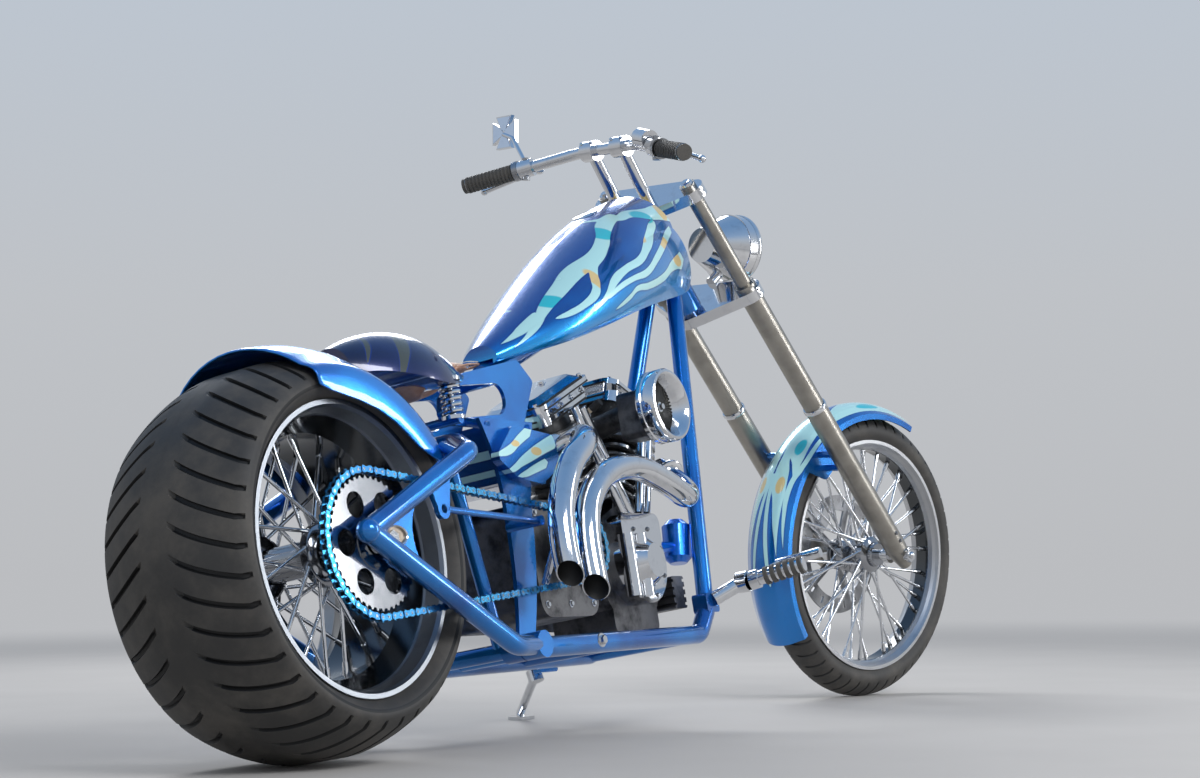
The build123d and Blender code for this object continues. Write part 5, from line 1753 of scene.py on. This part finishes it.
@dataclass
class SeatSprings:
    """Two coil springs with cups, under the seat."""

    x: float = 384.0
    y: float = 96.0
    foot: float = 572.0
    top: float = 650.0
    coil_radius: float = 16.5
    wire: float = 4.0
    turns: float = 5.5
    cup_radius: float = 21.5
    cup_height: float = 7.0
    guide_radius: float = 6.0

    def build(self, finishes: Finishes) -> bpy.types.Object:
        """Makes the springs.

        Args:
            finishes: the finishes to choose from.

        Returns:
            The finished object.
        """
        forge = Forge("coil_springs", Body.FRAME)
        chrome, height = finishes["chrome"], self.top - self.foot - 16
        for y in (-self.y, self.y):
            forge.coil((self.x, y, self.foot + 8), height, self.coil_radius, self.wire, self.turns, chrome)
            for z in (self.foot, self.top - self.cup_height):
                forge.rod((self.x, y, z), (self.x, y, z + self.cup_height), self.cup_radius, chrome, sides=32)
            forge.rod((self.x, y, self.foot), (self.x, y, self.top), self.guide_radius, chrome)
        return forge.finish("chrome", ["seat_springs"], smooth=40)


def mirrored(point: Point, side: int) -> Vector:
    """A point of the left side, or its mirror image where side is -1."""
    return Vector((point[0], side * point[1], point[2]))


@dataclass
class Cockpit:
    """Grip ribs, lever ends, bar ends, mirror glass, riser and fork caps on the steered front end.

    Attributes:
        bar_bend: the left bend of the handlebar.
        bar_end: its left end.
        mirror: the middle of the mirror's head.
        leg_y: how far the fork's legs stand from the middle.
        leg_top: their top, measured up the legs from the axle.
    """

    bar_bend: Point = (1263.0, 86.0, 1250.0)
    bar_end: Point = (1150.0, 335.0, 1192.0)
    mirror: Point = (1272.0, 330.0, 1327.0)
    leg_y: float = 125.0
    leg_top: float = 1118.0
    ribs: int = 13
    rib_pitch: float = 9.0
    rib_radius: float = 18.6

    @property
    def legs(self) -> Vector:
        """The direction up the fork's legs."""
        return Vector((-math.sin(FORK_RAKE), 0, math.cos(FORK_RAKE)))

    def fork(self, x: float, y: float, z: float) -> Vector:
        """A point in the fork's own measures, up the legs from the axle."""
        ahead = Vector((math.cos(FORK_RAKE), 0, math.sin(FORK_RAKE)))
        return Vector(FRONT_AXLE) + ahead * x + Vector((0, y, 0)) + self.legs * z

    def grip(self, forge: Forge, side: int, finishes: Finishes) -> None:
        """The grip, bar end, lever perch and riser screws of one side."""
        chrome, dark = finishes["chrome"], finishes["dark_chrome"]
        end = mirrored(self.bar_end, side)
        run = (end - mirrored(self.bar_bend, side)).normalized()
        for index in range(self.ribs):
            spot = end - run * (118 - self.rib_pitch * index)
            forge.rod(spot, spot + run * 4.5, self.rib_radius, finishes["grip"], sides=24)
        cap = [(0, 0.5), (0, 17.4), (5, 17.4), (8, 15), (9.5, 9), (10, 0.5)]
        forge.lathe(cap, end - run * 9.5, run, chrome, steps=32)
        perch = end - run * 150
        forge.rod(perch + Vector((0, 0, -26)), perch + Vector((0, 0, 24)), 9, dark, sides=24)
        forge.bolt(perch + Vector((12, 0, 18)), (0, 0, 1), 4, chrome)
        forge.rod(end - run * 134, end - run * 122, 22.5, dark, sides=32)
        forge.ball(end + Vector((56, 0, -8)), 8.5, chrome)
        forge.rod(perch + Vector((44, 0, -6)), perch + Vector((44, 0, 16)), 7, chrome)
        for across in (-14, 14):
            forge.bolt((1247, side * 46 + across, 1264), (-0.7, 0, 0.7), 4, chrome, height=5)

    def leg(self, forge: Forge, side: int, finishes: Finishes) -> None:
        """The top cap, clamp screws, seam ring and axle nut of one fork leg."""
        chrome, dark, legs = finishes["chrome"], finishes["dark_chrome"], self.legs
        cap = self.fork(0, side * self.leg_y, self.leg_top)
        forge.rod(cap - legs * 2, cap + legs * 5, 15, chrome, sides=32, end_radius=13)
        forge.rod(cap + legs * 4, cap + legs * 9, 9, chrome, sides=6)
        for height in (1082, 800):
            for along in (6, 20):
                spot = self.fork(0, side * (self.leg_y + 31), height + along)
                forge.bolt(spot, (0, side, 0), 3.6, dark, height=3)
        seam = [(0, 26), (0, 28.5), (3, 29), (8, 29), (11, 27.5), (11, 25)]
        forge.lathe(seam, self.fork(0, side * self.leg_y, 466), legs, chrome, steps=40)
        axle = Vector(FRONT_AXLE) + Vector((0, side * 150, 0))
        nut = axle + Vector((0, side * 9, 0))
        forge.rod(axle, nut, 17, chrome, sides=6)
        forge.ball(nut, 9, chrome)
        for along in (48, 72):
            forge.bolt(self.fork(0, side * (self.leg_y + 27), along), (0, side, 0), 3.4, dark, height=3)

    def build(self, finishes: Finishes) -> bpy.types.Object:
        """Makes the fittings.

        Args:
            finishes: the finishes to choose from.

        Returns:
            The finished object.
        """
        forge = Forge("cockpit_fittings", Body.FORK)
        for side in (-1, 1):
            self.grip(forge, side, finishes)
            self.leg(forge, side, finishes)
        x, y, z = self.mirror
        for index in range(4):
            turn = math.radians(90 * index)
            shape = []
            for a, b in ((3, -5), (3, 5), (35, 22), (35, -22)):
                across = a * math.cos(turn) - b * math.sin(turn)
                up = a * math.sin(turn) + b * math.cos(turn)
                shape.append((x - 10, y - across, z + up))
            forge.plate(shape, (-0.8, 0, 0), finishes["mirror"])
        return forge.finish("chrome", smooth=35)


@dataclass
class HeadlampLens:
    """A fluted lens in a rolled rim on the headlamp's bucket."""

    front: Point = (1689.0, 0.0, 1062.0)

    def build(self, finishes: Finishes) -> bpy.types.Object:
        """Makes the lens and rim.

        Args:
            finishes: the finishes to choose from.

        Returns:
            The finished object.
        """
        forge = Forge("headlamp_lens", Body.FORK)
        rim = [(-8, 78.3), (-2, 80), (4, 80), (8, 76), (7, 70), (3, 68), (0.5, 70), (0.5, 76)]
        turns = (1.5, 1.2, 0.9, 0.6, 0.3, 0.0)
        dome = [(1, 0.5), (1, 70)]
        dome += [(3 + 13 * math.cos(turn), 70 * math.sin(turn) + 0.5) for turn in turns]
        forge.lathe(rim, self.front, (1, 0, 0), finishes["chrome"], steps=64)
        forge.lathe(dome, self.front, (1, 0, 0), finishes["lens"], steps=64)
        return forge.finish("chrome", smooth=50)


@dataclass
class FrameTrim:
    """Axle nuts, the adjusters' windows, peg rings, two low screws, the filler cap and sprocket screws.

    Attributes:
        swing_y: the middle of the left axle plate of the swingarm.
        peg_root: the left peg's root.
        peg_tip: the left peg's tip.
        low_screw: the left one of two screws that stand outside the bottom rails.
    """

    swing_y: float = 198.0
    peg_root: Point = (1192.0, 214.0, 252.0)
    peg_tip: Point = (1214.0, 330.0, 266.0)
    low_screw: Point = (612.0, 192.0, 152.0)
    ring_squeeze: float = 0.56

    def side_fittings(self, forge: Forge, side: int, finishes: Finishes) -> None:
        """The adjuster's window, axle nut, peg rings and low screw of one side."""
        chrome, out = finishes["chrome"], (0, side, 0)
        window = (15, side * (self.swing_y + 5), 339)
        ring = [(-2, 27), (-2, 30), (2.5, 30.5), (4, 28), (2.5, 25.5), (-2, 25)]
        block = [(-8, 0.5), (-8, 27), (-1, 27), (0, 0.5)]
        for profile, finish in ((ring, chrome), (block, finishes["bronze"])):
            verts = forge.lathe(profile, window, out, finish)
            forge.squeeze(verts, (1, 1, self.ring_squeeze), (0, 0, 339))
        nut = Vector((0, side * (self.swing_y + 1), 333))
        forge.rod(nut, nut + Vector((0, side * 12, 0)), 14, chrome, sides=6)
        tip = mirrored(self.peg_tip, side)
        run = (tip - mirrored(self.peg_root, side)).normalized()
        for index in range(6):
            near = tip - run * (86 - 15 * index)
            forge.rod(near, near + run * 8, 19, finishes["grip"], sides=24)
        forge.bolt(mirrored(self.low_screw, side), out, 9, chrome, height=8)

    def build(self, finishes: Finishes) -> bpy.types.Object:
        """Makes the fittings.

        Args:
            finishes: the finishes to choose from.

        Returns:
            The finished object.
        """
        forge = Forge("frame_fittings", Body.FRAME)
        for side in (-1, 1):
            self.side_fittings(forge, side, finishes)
        filler = [(-2, 0.5), (-2, 27), (2, 29), (5, 27), (6.5, 20), (7, 0.5)]
        forge.lathe(filler, (1130, 0, 1078), (-0.41, 0, 0.91), finishes["chrome"], steps=40)
        for index in range(6):
            angle = math.tau * (index + 0.5) / 6
            spot = (36 * math.cos(angle), -172, REAR_AXLE[2] + 36 * math.sin(angle))
            forge.bolt(spot, (0, -1, 0), 4.2, finishes["dark_chrome"])
        return forge.finish("chrome", smooth=35)


@dataclass
class Studio:
    """The pale floor, soft lights and the camera at the photograph's place."""

    eye: tuple[float, float, float] = (-3.9425, -2.4367, 0.3155)
    yaw: float = 31.42
    pitch: float = 4.62
    roll: float = -0.56
    lens: float = 66.75
    horizon: Colour = (0.5, 0.51, 0.53)
    daylight: Colour = (0.42, 0.43, 0.45)

    @staticmethod
    def seen(nodes: Nodes) -> Wire:
        """1 for what the camera, a reflection or a refraction sees, and 0 for light that falls on things."""
        camera, glossy, through = (
            nodes.node("ShaderNodeLightPath", {}, {}, f"Is {kind} Ray")
            for kind in ("Camera", "Glossy", "Transmission")
        )
        return camera.most(glossy).most(through)

    def camera(self) -> None:
        """Places the camera."""
        data = bpy.data.cameras.new("view")
        data.lens, data.sensor_width = self.lens, 36.0
        made = bpy.data.objects.new("view", data)
        yaw, pitch, roll = (math.radians(angle) for angle in (self.yaw, self.pitch, self.roll))
        ahead = Vector((math.cos(yaw) * math.cos(pitch), math.sin(yaw) * math.cos(pitch), math.sin(pitch)))
        right = ahead.cross(Vector((0, 0, 1))).normalized()
        up = right.cross(ahead)
        side = right * math.cos(roll) + up * math.sin(roll)
        top = up * math.cos(roll) - right * math.sin(roll)
        matrix = Matrix((side, top, -ahead)).transposed().to_4x4()
        made.matrix_world = Matrix.Translation(Vector(self.eye)) @ matrix
        bpy.context.scene.collection.objects.link(made)
        bpy.context.scene.camera = made

    def floor(self) -> None:
        """Lays the pale floor."""
        mesh = bmesh.new()
        bmesh.ops.create_grid(mesh, x_segments=1, y_segments=1, size=30.0)
        data = bpy.data.meshes.new("floor")
        mesh.to_mesh(data)
        mesh.free()
        shade = Shade("pale_floor")
        here = shade.place()
        grain = shade.noise(here, scale=3, detail=4)
        shade.set(Base_Color=shade.blend(grain, (0.56, 0.55, 0.54), (0.5, 0.49, 0.48)), Roughness=0.75)
        x, y, _ = shade.parts(here)
        far = (x * x + y * y).power(0.5).step(2.5, 9.0)
        lit = Wire(shade, shade.surface.outputs[0])
        glow = shade.node("ShaderNodeEmission", {}, {"Color": self.horizon})
        mixed = shade.node("ShaderNodeMixShader", {}, [far * self.seen(shade), lit, glow])
        shade.feed(shade.output.inputs["Surface"], mixed)
        data.materials.append(shade.material)
        made = bpy.data.objects.new("floor", data)
        bpy.context.scene.collection.objects.link(made)

    def lamp(self, name: str, place: Point, size: tuple[float, float], power: float, look: Point) -> None:
        """Hangs one soft area lamp.

        Args:
            name: its name.
            place: where it hangs, in metres.
            size: its width and height.
            power: its power in watts.
            look: the place that it points at.
        """
        data = bpy.data.lights.new(name, "AREA")
        data.shape, data.size, data.size_y, data.energy = "RECTANGLE", *size, power
        made = bpy.data.objects.new(name, data)
        made.location = place
        made.rotation_euler = (Vector(look) - Vector(place)).to_track_quat("-Z", "Y").to_euler()
        bpy.context.scene.collection.objects.link(made)

    def sky(self) -> None:
        """A pale backdrop that grows lighter upwards, and a plain even light on things."""
        world = bpy.data.worlds.new("studio")
        bpy.context.scene.world = world
        world.use_nodes = True
        nodes = Nodes(world.node_tree)
        _, _, up = nodes.parts(nodes.node("ShaderNodeTexCoord", {}, {}, "Generated"))
        stops = (
            (0.0, self.horizon), (0.5, self.horizon), (0.56, (0.52, 0.54, 0.57)), (0.66, (0.5, 0.57, 0.66)),
            (0.8, (0.3, 0.45, 0.68)), (1.0, (0.18, 0.34, 0.6)),
        )
        backdrop = nodes.node("ShaderNodeValToRGB", {"stops": stops}, [up * 0.5 + 0.5])
        shown = nodes.blend(self.seen(nodes), self.daylight, backdrop)
        light = nodes.node("ShaderNodeBackground", {}, [shown])
        nodes.join(light.socket, nodes.tree.nodes.new("ShaderNodeOutputWorld").inputs[0])

    def build(self) -> None:
        """Sets up the camera, floor, sky and lamps."""
        bpy.context.scene.view_settings.view_transform = "Standard"
        self.camera()
        self.floor()
        self.sky()
        self.lamp("key", (-1.8, -4.2, 3.4), (2.4, 1.4), 130, (0, 0, 0.6))
        self.lamp("rim", (2.6, 2.6, 3.2), (2.4, 1.2), 90, (0.2, 0, 0.6))
        self.lamp("side_strip", (2.6, -3.4, 1.5), (0.5, 2.6), 50, (0.2, 0, 0.5))


def build_all() -> None:
    """Builds the chopper's looks in order."""
    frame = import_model()
    Studio().build()
    finishes = Finishes()
    finishes.dress_frame(frame)
    assemblies = (
        GroovedTyre(
            "rear_tread", "rear_tyre", Body.REAR_WHEEL, REAR_AXLE,
            radius=333, half=150, lip_radius=246, lip_half=128, crown_drop=38, shoulder=16,
            grooves=40, depth=7, sweep=1.9, clear=34, slit=11, flat=4.1,
        ),
        GroovedTyre(
            "front_tread", "front_tyre", Body.FRONT_WHEEL, FRONT_AXLE,
            radius=345, half=47, lip_radius=280, lip_half=37, crown_drop=24, shoulder=8,
            grooves=54, depth=3.5, sweep=0.8, clear=8, slit=7,
        ),
        LacedWheel(
            "rear_lacing", "rear_spokes", Body.REAR_WHEEL, REAR_AXLE,
            half=146, barrel=30, flange_y=66, flange_radius=46, rim_radius=207, rim_y=32, lean=38,
        ),
        LacedWheel(
            "front_lacing", "front_spokes", Body.FRONT_WHEEL, FRONT_AXLE,
            half=60, barrel=22, flange_y=32, flange_radius=36, rim_radius=260, rim_y=5, lean=34,
        ),
        DriveChain(),
        Exhaust(
            "rear_pipe", "rear_exhaust",
            route=(
                (742, -60, 520), (728, -150, 552), (650, -203, 522), (556, -210, 470), (480, -217, 350),
                (487, -228, 248),
            ),
            hanger=((523, -147, 266), (500, -196, 330)),
        ),
        Exhaust(
            "front_pipe", "front_exhaust",
            route=(
                (1160, -60, 516), (1135, -130, 462), (1040, -184, 425), (920, -200, 458), (793, -206, 485),
                (655, -210, 455), (567, -214, 356), (564, -229, 222),
            ),
        ),
        RearFender(),
        EngineTrim(),
        IntakeRing(),
        LeatherNose(),
        SeatSprings(),
        Cockpit(),
        HeadlampLens(),
        FrameTrim(),
    )
    for assembly in assemblies:
        assembly.build(finishes)


def main() -> None:
    """Builds the scene with its progress in the log."""
    logging.basicConfig(level=logging.INFO, format="%(name)s %(message)s")
    build_all()


if __name__ == "__main__":
    main()
